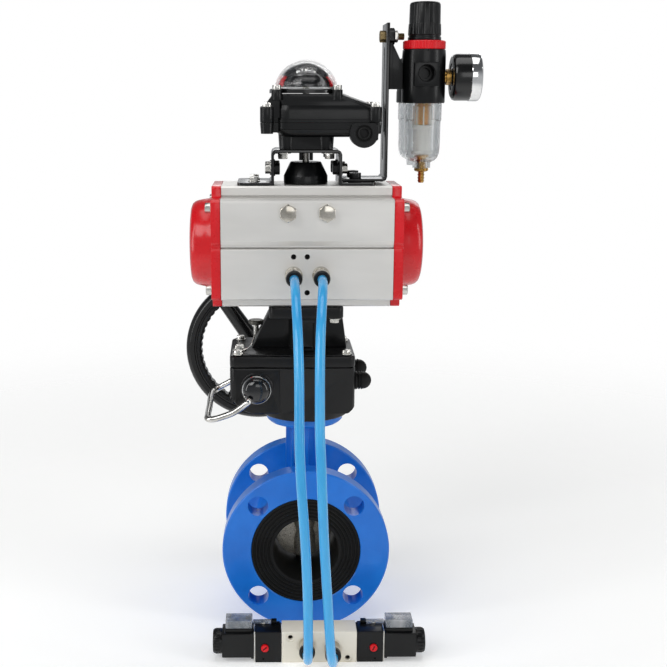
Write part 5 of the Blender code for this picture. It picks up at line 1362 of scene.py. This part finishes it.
class VALVE_OT_box_lid(PieceOperator):
    """The position box's sloping lid, its bosses and screws, and the clear dome."""

    bl_idname = "valve.box_lid"
    bl_label = "Box lid and dome"

    def execute(self, context):
        low, high = span("switch_box_cover")
        left, right, half = -28.8, 65.0, 31.0
        seam, rim, top = low.z, 478.9, high.z
        lid = stacked("box_lid", [
            (seam, soft_corners((left, -half), (right, half), 13, 10)),
            (seam + 2.6, soft_corners((left, -half), (right, half), 13, 10)),
            (seam + 2.8, soft_corners((left + 0.5, -half + 0.5), (right - 0.5, half - 0.5), 13, 10)),
            (rim - 3, soft_corners((left + 0.6, -half + 0.6), (right - 0.6, half - 0.6), 13, 10)),
            (rim, soft_corners((left + 1.2, -half + 1.2), (right - 1.2, half - 1.2), 13, 10)),
            (rim + 2.2, soft_corners((left + 1.0, -half + 2.0), (right - 4, half - 2.0), 13, 10)),
            (485.4, soft_corners((-29.4, -29.6), (48.5, 29.6), 14, 10)),
            (489.0, soft_corners((-29.8, -30.2), (38.5, 30.2), 15, 10)),
            (top, soft_corners((-29.6, -30.0), (33.5, 30.0), 16, 10))])
        bosses = [peg("boss", (x, y, 485.5), (x, y, 494.4), 4.9, 32, 4.6, rounding=0.3)
                  for x in (-26.5, 26.5) for y in (-27, 27)]
        lugs = []
        for x in (-35.2, 60.0):
            for y in (-27.0, 27.0):
                lugs.append(peg("lug", (x, y, seam), (x, y, rim + 0.8), 6.1, 40, rounding=0.4))
                inward = math.copysign(1, -y)
                lugs.append(brick("web", (min(x, x - 10 * math.copysign(1, x)), min(y, y + 5 * inward), seam),
                                  (max(x, x - 10 * math.copysign(1, x)), max(y, y + 5 * inward), rim - 1), 0.5))
        slopes = [slab("slope", [(-24, seam + 4), (-38.4, seam + 4), (-38.4, rim + 0.4), (-30.6, 490.0),
                                 (-24, 490.0)],
                       "Y", y - 2.6, y + 2.6, 0.4) for y in (-25.4, 25.4)]
        add(lid, *bosses, *lugs, *slopes)
        inner = stacked("inner", [(seam - 5,
                                   soft_corners((left + 3.5, -half + 3.5), (right - 3.5, half - 3.5), 9)),
                                  (rim - 3,
                                   soft_corners((left + 3.5, -half + 3.5), (right - 3.5, half - 3.5), 9)),
                                  (top - 3, soft_corners((-27, -26), (29, 26), 10))])
        cut(lid, inner, peg("hole", (0, 0, top - 10), (0, 0, top + 5), 3.4, 32))
        dress(lid, "polyamide", stands_for="switch_box_cover", angle=24)
        screws = [hex_head("screw", (x, y, rim + 0.8), (0, 0, 1), 6.4, 3.0,
                           4.4) for x in (-35.2, 60) for y in (-27, 27)]
        screws += [socket_head("screw", (x, y, 494.4), (0, 0, 1), 3.9,
                               4.2) for x in (-26.5, 26.5) for y in (-27, 27)]
        dress(gather("box_screws", screws), "zinc")

        low, high = span("indicator_dome")
        base, radius, wall, rise, flange = low.z, 28.8, 1.8, 0.6, 33.0
        outer = [(r, base + rise + h) for r, h in arc((0, 0), radius, 90, 0, 22)]
        inner = [(r, base + rise + h) for r, h in arc((0, 0), radius - wall, 0, 90, 22)]
        outer[0], inner[-1] = (0, base + rise + radius), (0, base + rise + radius - wall)
        dome = turned("clear_dome", [*outer, (radius, base), (radius - wall, base), *inner], (0, 0, 0), "Z", 96)
        dress(dome, "clear_dome", stands_for="indicator_dome", angle=40)
        ring = turned("dome_ring", [(radius + 0.15, base), (flange, base), (flange, base + 3.0),
                                    (flange - 0.8, base + 3.8),
                                    (radius + 0.9, base + 4.0), (radius + 0.15, base + 3.4)], (0, 0, 0), "Z",
                                    96)
        for x in (-26.5, 26.5):
            for y in (-27, 27):
                cut(ring, peg("relief", (x, y, base - 1), (x, y, base + 6), 5.1, 24))
        dress(ring, "gloss", angle=35)
        return {"FINISHED"}


# ---------------------------------------------------------------- air set

AIR_X, REG_LOW, REG_TOP = 105.5, 482.8, 529.9
BOWL_R, BOWL_WALL, BOWL_LOW, BOWL_IN = 17.0, 2.0, 430.0, 6.0
LUB_Y, LUB_R, LUB_TOP, INLET_Z = 42.0, 17.5, 524.0, 508.9
GAUGE_Z, GAUGE_R, GAUGE_BACK, GAUGE_BEZEL, GAUGE_FRONT = 505.7, 21.3, 130.5, 146.0, 155.6
DIAL_X = 148.5


class VALVE_OT_post(PieceOperator):
    """The slotted upright strip and the arm that holds the air set, with their fasteners."""

    bl_idname = "valve.post"
    bl_label = "Post and arm"

    def execute(self, context):
        low, high = span("air_set_post")
        front, back, foot, sheet = high.x - 2.5, high.x, low.z, 2.5
        outline = [(low.x, foot), (back - 4, foot), (back - 1.2, foot + 1.2), (back, foot + 4), (back, high.z),
                   (front, high.z), (front, foot + sheet + 1.8), (front - 1.8, foot + sheet),
                   (low.x, foot + sheet)]
        post = slab("post_strip", outline, "Y", low.y, high.y, 0.35, 2, 40)
        slot_tool = slab("slot", soft_corners((-3, 432), (3, 532), 2.95, 8), "X", front - 5, back + 5)
        cut(post, slot_tool, peg("hole", (front - 5, 0, 541), (back + 5, 0, 541), 3.4, 32))
        dress(post, "gloss", stands_for="air_set_post", angle=30)

        low, high = span("air_set_bracket")
        foot = 495.0
        plate = brick("air_set_arm", (low.x, low.y, foot), (low.x + sheet, high.y, high.z + 2), 0.3)
        reach = high.x
        webs = [slab("web", [(low.x + 1, foot), (reach, foot), (reach, 516), (low.x + 4, high.z + 1),
                             (low.x + 1, high.z + 1)],
                     "Y", y - 1.25, y + 1.25, 0.3) for y in (-8, 0, 8)]
        add(plate, *webs)
        dress(plate, "powder", stands_for="air_set_bracket", angle=30)

        z = 541.0
        head = hex_head("stud_head", (front, 0, z), (-1, 0, 0), 9, 4.6)
        shank = peg("shank", (front - 1, 0, z), (back + 14.8, 0, z), 2.9, 24, rounding=0.4)
        threads = turned("threads", [(2.7, 0)] + [(2.75 + 0.35 * (i % 2),
                                                   0.6 * i) for i in range(1, 17)] + [(2.7, 10.2)],
                         (back + 4.5, 0, z), "X", 24)
        dress(gather("post_stud", [head, shank, threads]), "dull")
        nut = hex_head("post_nut", (back, 0, z), (1, 0, 0), 13, 5.2, 8.2)
        dress(nut, "polyamide")
        second = hex_head("post_lock_nut", (back + 6.4, 0, z), (1, 0, 0), 9, 2.8)
        dress(second, "zinc")
        return {"FINISHED"}


class VALVE_OT_regulator(PieceOperator):
    """The regulator's housing with its inlet, the red lock ring and the fluted knob."""

    bl_idname = "valve.regulator"
    bl_label = "Regulator"

    def execute(self, context):
        x = AIR_X
        body = turned("regulator_housing", [
            (0, REG_TOP), (18.4, REG_TOP), (19.1, REG_TOP - 0.8), (19.5, REG_TOP - 6), (19.5, REG_LOW + 1.2),
            (19.0, REG_LOW), (17.4, REG_LOW), (17.4, REG_LOW + BOWL_IN), (0, REG_LOW + BOWL_IN)], (x, 0, 0),
            "Z", 96)
        inlet = slab("inlet", soft_corners((x - 11, INLET_Z - 11.2), (x + 11, INLET_Z + 9.6), 1.2, 4), "Y", -22,
                     -6, 0.5)
        link = brick("link", (x - 11, 5, INLET_Z - 11), (x + 11, 25.3, INLET_Z + 11), 0.8)
        add(body, inlet, link)
        cut(body, peg("mouth", (x, -30, INLET_Z), (x, -9, INLET_Z), 7.7, 48),
            peg("throat", (x, -12, INLET_Z), (x, -2, INLET_Z), 5.0, 32),
            peg("socket", (x, 0, REG_TOP - 12), (x, 0, REG_TOP + 5), 5.4, 32),
            peg("gauge", (x + 8, 0, GAUGE_Z), (x + 26, 0, GAUGE_Z), 5.4, 32),
            brick("notch", (x - 1.6, -22, REG_TOP - 2.2), (x + 1.6, -17, REG_TOP + 1)))
        ease(body, 0.3, 45, 1)
        dress(body, "polyamide", stands_for="regulator_body", angle=28)
        thread = turned("inlet_thread", [(7.7, -21.6)] + [(7.5 - 0.5 * (i % 2),
                                                           -21.2 + 0.55 * i) for i in range(18)]
                        + [(7.7, -11.3)], (x, 0, INLET_Z), "Y", 48)
        dress(thread, "powder")

        ring_top = REG_TOP + 7.4
        ring = turned("red_lock_ring", [(15.4, REG_TOP + 0.05), (18.6, REG_TOP + 0.05), (19.0, REG_TOP + 0.6),
                                        (19.0, ring_top - 0.9), (18.2, ring_top), (15.4, ring_top)], (x, 0, 0),
                                        "Z", 144)
        tooth = peg("tooth", (x + 19.6, 0, REG_TOP + 1.2), (x + 19.6, 0, ring_top + 1), 1.1, 12)
        cut(ring, wheel_of(tooth, "teeth", 36, (x, 0, 0), "Z"))
        dress(ring, "red_plastic", angle=30)

        low, high = span("regulator_knob")
        base, top = ring_top + 0.3, high.z
        knob = turned("pressure_grip", [
            (0, top - 0.6), (8.2, top - 0.6), (9.0, top), (11.6, top), (13.0, top - 0.8), (13.6, top - 2.4),
            (13.9, base + 14.5), (14.3, base + 14.0), (14.7, base + 4.6), (14.2, base + 4.2),
            (14.2, base + 3.0),
            (14.8, base + 2.6), (14.8, base), (4.9, base), (4.9, low.z), (0, low.z)], (x, 0, 0), "Z", 144)
        flute = peg("flute", (x + 15.9, 0, base + 5.2), (x + 15.0, 0, top + 1), 1.9, 16)
        cut(knob, wheel_of(flute, "flutes", 18, (x, 0, 0), "Z"))
        ease(knob, 0.35, 38, 2)
        dress(knob, "polyamide", "pressure_knob", "regulator_knob", 35)
        return {"FINISHED"}


def bowl_profile(drain_r):
    """A clear bowl's wall: a thick collar at its top, a domed foot and a short neck."""
    top = REG_LOW + BOWL_IN - 0.3
    r, w, low = BOWL_R, BOWL_WALL, BOWL_LOW
    outside = [(r - w, top), (r - 0.3, top), (r - 0.3, REG_LOW - 0.4), (r, REG_LOW - 0.8), (r, REG_LOW - 15.0),
               (r - 0.7, REG_LOW - 15.8), (r - 0.9, low + 13), (r - 1.3, low + 8.5), (r - 2.7, low + 4.6),
               (r - 5.0, low + 1.8), (r - 8.5, low + 0.2), (8.2, low), (8.0, low - 5)]
    inside = [(r - 9, low + w), (r - w - 3.9, low + w + 1.9), (r - w - 1.9, low + w + 5.0),
              (r - w - 1.2, low + 11.5),
              (r - w - 0.9, low + 16)]
    return outside + ([(drain_r, low - 5),
                       (drain_r, low + w)] if drain_r else [(0, low - 5), (0, low + w)]) + inside


class VALVE_OT_filter(PieceOperator):
    """The filter's clear bowl, the sleeve and baffle inside it, and its brass drain."""

    bl_idname = "valve.filter"
    bl_label = "Filter bowl"

    def execute(self, context):
        x = AIR_X
        bowl = turned("clear_bowl", bowl_profile(4.3), (x, 0, 0), "Z", 96)
        dress(bowl, "clear", stands_for="filter_bowl", angle=35)
        low, high = span("filter_element")
        core = turned("filter_core", [(0, high.z), (7.0, high.z), (7.0, low.z + 8), (6.4, low.z + 7.4),
                                      (0, low.z + 7.4)],
                      (x, 0, 0), "Z", 48)
        dress(core, "core", stands_for="filter_element", angle=35)
        baffle = turned("filter_baffle", [
            (0, low.z + 7.2), (8.6, low.z + 7.2), (9.0, low.z + 6.6), (9.0, low.z + 4.4), (8.0, low.z + 3.6),
            (8.0, 440.5), (9.4, 438.8), (9.4, 437.6), (3.0, 437.2), (0, 437.2)], (x, 0, 0), "Z", 64)
        fin = brick("fin", (x - 0.5, -8.6, low.z + 7), (x + 0.5, -6.8, low.z + 24))
        fins = wheel_of(fin, "fins", 8, (x, 0, 0), "Z")
        dress(gather("filter_baffle", [baffle, fins]), "white_plastic", angle=35)
        disc = turned("drain_seat", [(0, 436.6), (6.6, 436.6), (6.6, 434.6), (0, 434.6)], (x, 0, 0), "Z", 48)
        dress(disc, "brass")

        low, high = span("drain_cock")
        drain = turned("drain_spigot", [
            (0, high.z), (3.9, high.z), (3.9, BOWL_LOW - 5.4), (6.4, BOWL_LOW - 5.5), (6.4, BOWL_LOW - 7.4),
            (5.4, BOWL_LOW - 8.2),
            (3.0, BOWL_LOW - 8.8), (2.5, low.z + 8.4), (3.2, low.z + 7.6), (2.5, low.z + 5.4),
            (3.2, low.z + 4.9),
            (2.5, low.z + 2.7), (3.1, low.z + 2.2), (2.3, low.z + 0.2), (2.0, low.z), (1.3, low.z),
            (1.3, low.z + 6), (0, low.z + 6)],
            (x, 0, 0), "Z", 48)
        grip = peg("grip", (x + 6.9, 0, BOWL_LOW - 9), (x + 6.9, 0, BOWL_LOW - 5), 0.9, 10)
        cut(drain, wheel_of(grip, "grips", 14, (x, 0, 0), "Z"))
        dress(drain, "brass", "drain", "drain_cock", 35)
        return {"FINISHED"}


class VALVE_OT_lubricator(PieceOperator):
    """The lubricator behind the filter: its housing, oil bowl and drip dial."""

    bl_idname = "valve.lubricator"
    bl_label = "Lubricator"

    def execute(self, context):
        x, y, skirt = AIR_X, LUB_Y, LUB_R + 1.5
        housing = turned("lubricator_housing", [
            (0, LUB_TOP), (LUB_R - 3, LUB_TOP), (LUB_R - 0.8, LUB_TOP - 1.2), (LUB_R, LUB_TOP - 4),
            (skirt - 0.4, REG_LOW + 12),
            (skirt, REG_LOW + 10), (skirt, REG_LOW + 0.8), (skirt - 0.6, REG_LOW), (17.4, REG_LOW),
            (17.4, REG_LOW + BOWL_IN),
            (0, REG_LOW + BOWL_IN)], (x, y, 0), "Z", 96)
        cut(housing, brick("flat", (x - 12, 0, INLET_Z - 12), (x + 12, y - LUB_R + 1.6, INLET_Z + 12)))
        outlet = slab("outlet", soft_corners((x - 11, INLET_Z - 11), (x + 11, INLET_Z + 11), 1.5, 4), "Y", y,
                      y + LUB_R + 5,
                      0.5)
        add(housing, outlet)
        cut(housing, peg("mouth", (x, y + 9, INLET_Z), (x, y + 30, INLET_Z), 6.5, 40),
            peg("dial", (x, y, LUB_TOP - 8), (x, y, LUB_TOP + 5), 4.3, 32))
        ease(housing, 0.3, 45, 1)
        dress(housing, "polyamide", stands_for="lubricator_body", angle=28)
        bowl = turned("oil_bowl", bowl_profile(0), (x, y, 0), "Z", 96)
        dress(bowl, "clear", stands_for="lubricator_bowl", angle=35)
        pipe = peg("pipe", (x + 3, y, 438), (x + 3, y, REG_LOW + 5.6), 1.6, 24)
        float_cup = turned("cup", [(0, 440), (4.2, 440), (4.2, 446), (0, 446)], (x + 3, y, 0), "Z", 32)
        dress(gather("oil_pickup", [pipe, float_cup]), "white_plastic")
        low, high = span("oil_drip_knob")
        base, top = LUB_TOP + 0.3, high.z
        dial = turned("drip_dial", [
            (0, top - 1.2), (4.6, top - 1.2), (5.2, top), (6.6, top), (7.8, top - 1.4), (8.0, base + 2.4),
            (7.6, base),
            (3.9, base), (3.9, low.z), (0, low.z)], (x, y, 0), "Z", 72)
        flute = peg("flute", (x + 8.3, y, base + 2), (x + 8.3, y, top + 1), 0.8, 10)
        cut(dial, wheel_of(flute, "flutes", 18, (x, y, 0), "Z"),
            brick("slot", (x - 4.2, y - 0.6, top - 2.2), (x + 4.2, y + 0.6, top + 1)))
        dress(dial, "polyamide", "drip_knob", "oil_drip_knob", 35)
        return {"FINISHED"}


class VALVE_OT_gauge(PieceOperator):
    """The pressure gauge: case, bezel, glass, dial, marks and its brass stem."""

    bl_idname = "valve.gauge"
    bl_label = "Pressure gauge"

    def execute(self, context):
        axis = (0, 0, GAUGE_Z)
        rim = GAUGE_R - 2
        case = turned("gauge_housing", [
            (0, DIAL_X - 0.8), (rim, DIAL_X - 0.8), (rim, GAUGE_BEZEL + 2.0),
            (GAUGE_R - 0.5, GAUGE_BEZEL + 2.0),
            (GAUGE_R - 0.5, GAUGE_BACK + 3.2), (GAUGE_R - 1.4, GAUGE_BACK + 1.2), (GAUGE_R - 3.4, GAUGE_BACK),
            (GAUGE_R - 9, GAUGE_BACK), (GAUGE_R - 9.6, GAUGE_BACK + 0.6), (8.4, GAUGE_BACK + 0.6),
            (7.8, GAUGE_BACK),
            (0, GAUGE_BACK)], axis, "X", 96)
        dress(case, "gloss", stands_for="gauge_case", angle=30)
        bezel = turned("gauge_bezel", [
            (GAUGE_R - 0.3, GAUGE_BEZEL), (GAUGE_R, GAUGE_BEZEL + 0.4), (GAUGE_R, GAUGE_FRONT - 2.4),
            (GAUGE_R - 0.5, GAUGE_FRONT - 0.9), (GAUGE_R - 1.7, GAUGE_FRONT),
            (GAUGE_R - 3.0, GAUGE_FRONT - 0.3),
            (GAUGE_R - 3.2, GAUGE_FRONT - 1.6), (GAUGE_R - 1.9, GAUGE_FRONT - 1.8),
            (GAUGE_R - 1.9, GAUGE_BEZEL + 2.2),
            (GAUGE_R - 0.45, GAUGE_BEZEL + 2.2), (GAUGE_R - 0.45, GAUGE_BEZEL)], axis, "X", 128)
        dress(bezel, "chrome", angle=30)
        glass = turned("gauge_glass", [(0, GAUGE_FRONT - 2.0), (GAUGE_R - 2.1, GAUGE_FRONT - 2.0),
                                       (GAUGE_R - 2.1, GAUGE_FRONT - 3.8), (0, GAUGE_FRONT - 3.8)], axis, "X",
                                       96)
        dress(glass, "glass")
        dial = turned("gauge_dial", [(0, DIAL_X), (rim - 0.3, DIAL_X), (rim - 0.3, DIAL_X - 0.7),
                                     (0, DIAL_X - 0.7)],
                      axis, "X", 96)
        dress(dial, "white_plastic")
        marks = []
        for i in range(51):
            long = i % 10 == 0
            reach = rim - (4.6 if long else 3.4 if i % 5 == 0 else 2.6)
            angle = math.radians(225 - 5.4 * i)
            wide = 0.42 if long else 0.2
            way = Vector((0, math.cos(angle), math.sin(angle)))
            start = Vector((DIAL_X + 0.05, 0, GAUGE_Z))
            marks.append(peg("mark", start + way * reach, start + way * (rim - 1.6), wide, 4, spin=math.pi / 4))
            if long:
                marks.append(numeral(str(i // 5), start + way * (rim - 7.2), 3.4))
        dress(gather("dial_marks", marks), "ink", angle=5)

        stem_in = AIR_X + 10
        stem = turned("gauge_union", [
            (0, stem_in), (5, stem_in), (5, AIR_X + 20.2), (6.2, AIR_X + 20.2), (6.2, AIR_X + 21.4),
            (5.2, AIR_X + 21.8),
            (5.2, GAUGE_BACK - 0.3), (0, GAUGE_BACK - 0.3)], axis, "X", 48)
        nut = peg("nut", (AIR_X + 20.0, 0, GAUGE_Z), (GAUGE_BACK - 0.3, 0, GAUGE_Z), 7.2, 6)
        ease(nut, 0.3, 40, 1)
        dress(gather("gauge_union", [stem, nut]), "brass", stands_for="gauge_stem",
              angle=30)
        return {"FINISHED"}


def numeral(text, centre, height):
    """A plain number lying on the dial, made solid."""
    curve = bpy.data.curves.new("numeral", "FONT")
    curve.body = text
    curve.size = height * MM
    curve.extrude = 0.06 * MM
    curve.align_x, curve.align_y = "CENTER", "CENTER"
    obj = bpy.data.objects.new("numeral", curve)
    bpy.context.scene.collection.objects.link(obj)
    pick(obj)
    bpy.ops.object.convert(target="MESH")
    obj = bpy.context.object
    columns = Matrix(((0, 1, 0), (0, 0, 1), (1, 0, 0))).transposed().to_4x4()
    obj.matrix_world = Matrix.Translation(at(*centre)) @ columns
    settle(obj)
    return clean(obj, 0.01)


# ---------------------------------------------------------------- air valve

SOL_FRONT, SOL_BACK, SOL_TOP = -121.8, -100.0, 29.5
SOL_LEFT, SOL_RIGHT = -23.2, 42.7
SOL_PORTS = ((-1.4, 17.0), (21.2, 14.0))


class VALVE_OT_air_valve(PieceOperator):
    """The cream valve block with its ports and screws."""

    bl_idname = "valve.air_valve"
    bl_label = "Air valve block"

    def execute(self, context):
        block = brick("valve_block", (SOL_LEFT, SOL_FRONT, 0), (SOL_RIGHT, SOL_BACK, SOL_TOP), 0.7, 3)
        spool_y, spool_z = (SOL_FRONT + SOL_BACK) / 2 + 4, SOL_TOP / 2
        tools = [peg("port", (x, SOL_FRONT - 5, z), (x, SOL_FRONT + 7, z), 5.6, 40) for x, z in SOL_PORTS]
        tools += [peg("seat", (x, SOL_FRONT - 5, z), (x, SOL_FRONT + 0.6, z), 8.6, 48) for x, z in SOL_PORTS]
        tools.append(peg("bore", (SOL_LEFT - 5, spool_y, spool_z), (SOL_RIGHT + 5, spool_y, spool_z), 4.3, 32))
        for x, z in ((-15.6, 24.0), (34.8, 4.5)):
            tools.append(peg("hole", (x, SOL_FRONT - 5, z), (x, SOL_FRONT + 9, z), 2.2, 24))
            tools.append(peg("sink", (x, SOL_FRONT - 5, z), (x, SOL_FRONT + 0.6, z), 4.2, 32))
        for x in (-7.5, 9.8, 27.0):
            tools.append(peg("exhaust", (x, SOL_BACK - 6, 12.0), (x, SOL_BACK + 5, 12.0), 4.6, 32))
        cut(block, *tools)
        dress(block, "cream", stands_for="solenoid_valve_body", angle=28)
        screws = [socket_head("mounting_screw", (x, SOL_FRONT + 5, z), (0, -1, 0), 2.15, 2.2) for x,
                  z in ((-15.6, 24.0), (34.8, 4.5))]
        dress(gather("mounting_screws", screws), "ink")
        for (side, (x, z)) in zip(("left", "right"), SOL_PORTS):
            mouth = span(f"valve_fitting_{side}")[0].y
            base = turned(f"valve_push_fitting_{side}", [
                (TUBE_HOLE_R, SOL_FRONT + 6), (5.3, SOL_FRONT + 6), (5.3, SOL_FRONT + 0.5),
                (7.0, SOL_FRONT + 0.5),
                (7.0, SOL_FRONT - 10.4), (6.6, SOL_FRONT - 11.0), (TUBE_HOLE_R, SOL_FRONT - 11.0)], (x, 0, z),
                "Y", 48)
            dress(base, "nickel", stands_for=f"valve_fitting_{side}")
            ring = turned(f"valve_release_ring_{side}", [
                (TUBE_HOLE_R, mouth), (6.0, mouth), (6.7, mouth + 0.7), (7.0, mouth + 2.0), (7.0, mouth + 4.4),
                (6.2, mouth + 5.1), (TUBE_HOLE_R, mouth + 5.1)], (x, 0, z), "Y", 48)
            dress(ring, "polyamide")
        return {"FINISHED"}


class VALVE_OT_solenoids(PieceOperator):
    """The two pilot heads with their buttons, coils and plug housings."""

    bl_idname = "valve.solenoids"
    bl_label = "Solenoids"

    def execute(self, context):
        for side, label in ((-1, "left"), (1, "right")):
            start = SOL_RIGHT if side > 0 else -SOL_LEFT
            head_in, head_out = start + 0.3, start + 24.3
            coil_in, coil_out = head_out + 0.3, head_out + 28.3
            nut_out = coil_out + 8.0
            front, back = SOL_FRONT + 0.5, SOL_BACK - 0.5
            button_x = side * (head_in + 14.5)

            def box(name, a, b, y0, y1, z0, z1, rounding, side=side):
                low, high = sorted((side * a, side * b))
                return brick(name, (low, y0, z0), (high, y1, z1), rounding)

            head = box(f"pilot_block_{label}", head_in, head_out - 1.0, front, back, 0, 29, 0.7)
            tools = [peg("hole", (button_x, SOL_FRONT - 5, 14), (button_x, SOL_FRONT + 8, 14), 3.6, 40),
                     peg("ring", (button_x, SOL_FRONT - 5, 14), (button_x, front + 0.5, 14), 4.4, 40),
                     peg("screw", (button_x + side * 1.5, SOL_FRONT - 5, 3.6),
                         (button_x + side * 1.5, front + 1.2, 3.6), 0.9, 16),
                     box("channel", head_in - 1, head_in + 1.2, front - 1, back + 1, 27.6, 32, 0)]
            cut(head, *tools)
            dress(head, "polyamide", stands_for=f"pilot_head_{label}", angle=28)
            plate = box(f"pilot_plate_{label}", head_out - 1.0, head_out, front + 0.2, back - 0.2, 0.2, 29.6,
                        0.15)
            screw = hex_head("screw", (side * (head_out - 8), back - 5, 29), (0, 0, 1), 3.6, 1.6)
            dress(gather(f"pilot_plate_{label}", [plate, screw]), "zinc")

            y, z = (SOL_FRONT + SOL_BACK) / 2, (4.5 + 27.0) / 2
            coil = box(f"coil_{label}", coil_in, coil_out, front, back, 4.5, 27.0, 0.9)
            rib = box("rib", coil_in, coil_in + 2.4, front - 0.0, back, 3.6, 27.8, 0.4)
            socket = box("socket", coil_in + 1, coil_out - 3, front + 3.5, back - 1.5, 25, 30.2, 0.5)
            add(coil, rib, socket)
            nut = turned("nut", [(0, -0.8), (10.4, -0.8), (10.9, 0), (11.0, 1.6), (11.0, 5.4), (10.2, 7.4),
                                 (9.6, 8.0),
                                 (5.2, 8.0), (4.8, 7.2), (0, 7.2)], (side * coil_out, y, z),
                                 "X" if side > 0 else "-X", 72)
            groove = peg("groove", (side * (coil_out + 1.6), y, z + 11.4), (side * (nut_out + 1), y, z + 11.0),
                         0.9, 10)
            cut(nut, wheel_of(groove, "grooves", 20, (side * coil_out, y, z), "X"))
            coil = gather(f"coil_{label}", [coil, nut])
            dress(coil, "polyamide", stands_for=f"solenoid_coil_{label}", angle=30)
            lid = box(f"plug_lid_{label}", coil_in + 1.2, coil_out - 3.2, front + 4, back - 2, 30.3, 38.0, 0.7)
            under = box("under", coil_in + 2.6, coil_out - 4.6, front + 5.4, back - 3.4, 28, 36.4, 0)
            cut(lid, under)
            dress(lid, "smoked", angle=30)
            board = box(f"plug_board_{label}", coil_in + 3, coil_out - 5, front + 6, back - 4, 30.3, 33.4, 0.3)
            dress(board, "ink")
            tail = box(f"plug_tail_{label}", head_in + 9, coil_in + 0.8, back - 6, back - 1.5, 29.1, 31.8, 0.5)
            dress(tail, "smoked", angle=30)
            latch = box(f"plug_latch_{label}", head_in + 4, head_in + 9, back - 6.4, back - 1.2, 29.1, 32.4,
                        0.5)
            dress(latch, "polyamide", angle=30)

            low, high = span(f"override_button_{label}")
            button = peg(f"red_button_{label}", (button_x, low.y, 14), (button_x, high.y, 14), 3.3, 48,
                         rounding=0.25)
            turn = math.radians(40 if side < 0 else 65)
            way = Vector((math.cos(turn), 0, math.sin(turn)))
            face = Vector((button_x, low.y, 14))
            bar = peg("slot", face - way * 2.3, face + way * 2.3, 0.85, 4, spin=math.pi / 4)
            cut(button, bar)
            dress(button, "red_plastic", f"{label}_button", f"override_button_{label}", 30)
            line = peg(f"button_mark_{label}", face - way * 2.1 + Vector((0, 0.5, 0)),
                       face + way * 2.1 + Vector((0, 0.5, 0)), 0.42,
                       4, spin=math.pi / 4)
            dress(line, "ink", f"{label}_button")
        return {"FINISHED"}


# ---------------------------------------------------------------- frame nodes that stay

KEPT = {
    "valve_stem": "stainless",
    "worm_quadrant": "bronze",
    "worm_shaft": "stainless",
    "drive_adapter": "stainless",
    "actuator_pinion": "nickel",
    "piston_left": "anodised",
    "piston_right": "anodised",
    "indicator_shaft": "stainless",
    "switch_cams": "red_plastic",
    "limit_switches": "polyamide",
    "valve_spool": "nickel",
    "gauge_needle": "ink",
}


class VALVE_OT_inner_works(PieceOperator):
    """Finishes for the shafts, gears, pistons and switches inside."""

    bl_idname = "valve.inner_works"
    bl_label = "Inner works"

    def execute(self, context):
        for name, look in KEPT.items():
            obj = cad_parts[name]
            if not obj.material_slots:
                obj.data.materials.append(None)
            for place in obj.material_slots:
                place.material = finish(look)
        return {"FINISHED"}


# ---------------------------------------------------------------- add-on

SETTINGS = {"valve_tubes": TubeSettings, "valve_trim": TrimSettings, "valve_stage": StageSettings}
MAKERS = [kind for kind in PieceOperator.__subclasses__()]


class VALVE_PT_panel(bpy.types.Panel):
    """Buttons that model the valve package piece by piece."""

    bl_idname = "VALVE_PT_panel"
    bl_label = "Actuated Valve"
    bl_space_type = "VIEW_3D"
    bl_region_type = "UI"
    bl_category = "Valve"

    def draw(self, context):
        for name in SETTINGS:
            group = getattr(context.scene, name)
            for key in group.__annotations__:
                self.layout.prop(group, key)
        for kind in MAKERS:
            self.layout.operator(kind.bl_idname)


def register():
    for name, kind in SETTINGS.items():
        bpy.utils.register_class(kind)
        setattr(bpy.types.Scene, name, bpy.props.PointerProperty(type=kind))
    for kind in MAKERS:
        bpy.utils.register_class(kind)
    bpy.utils.register_class(VALVE_PT_panel)


def unregister():
    bpy.utils.unregister_class(VALVE_PT_panel)
    for kind in reversed(MAKERS):
        bpy.utils.unregister_class(kind)
    for name, kind in SETTINGS.items():
        delattr(bpy.types.Scene, name)
        bpy.utils.unregister_class(kind)


def main():
    register()
    for kind in MAKERS:
        group, name = kind.bl_idname.split(".")
        getattr(getattr(bpy.ops, group), name)()


if __name__ == "__main__":
    main()
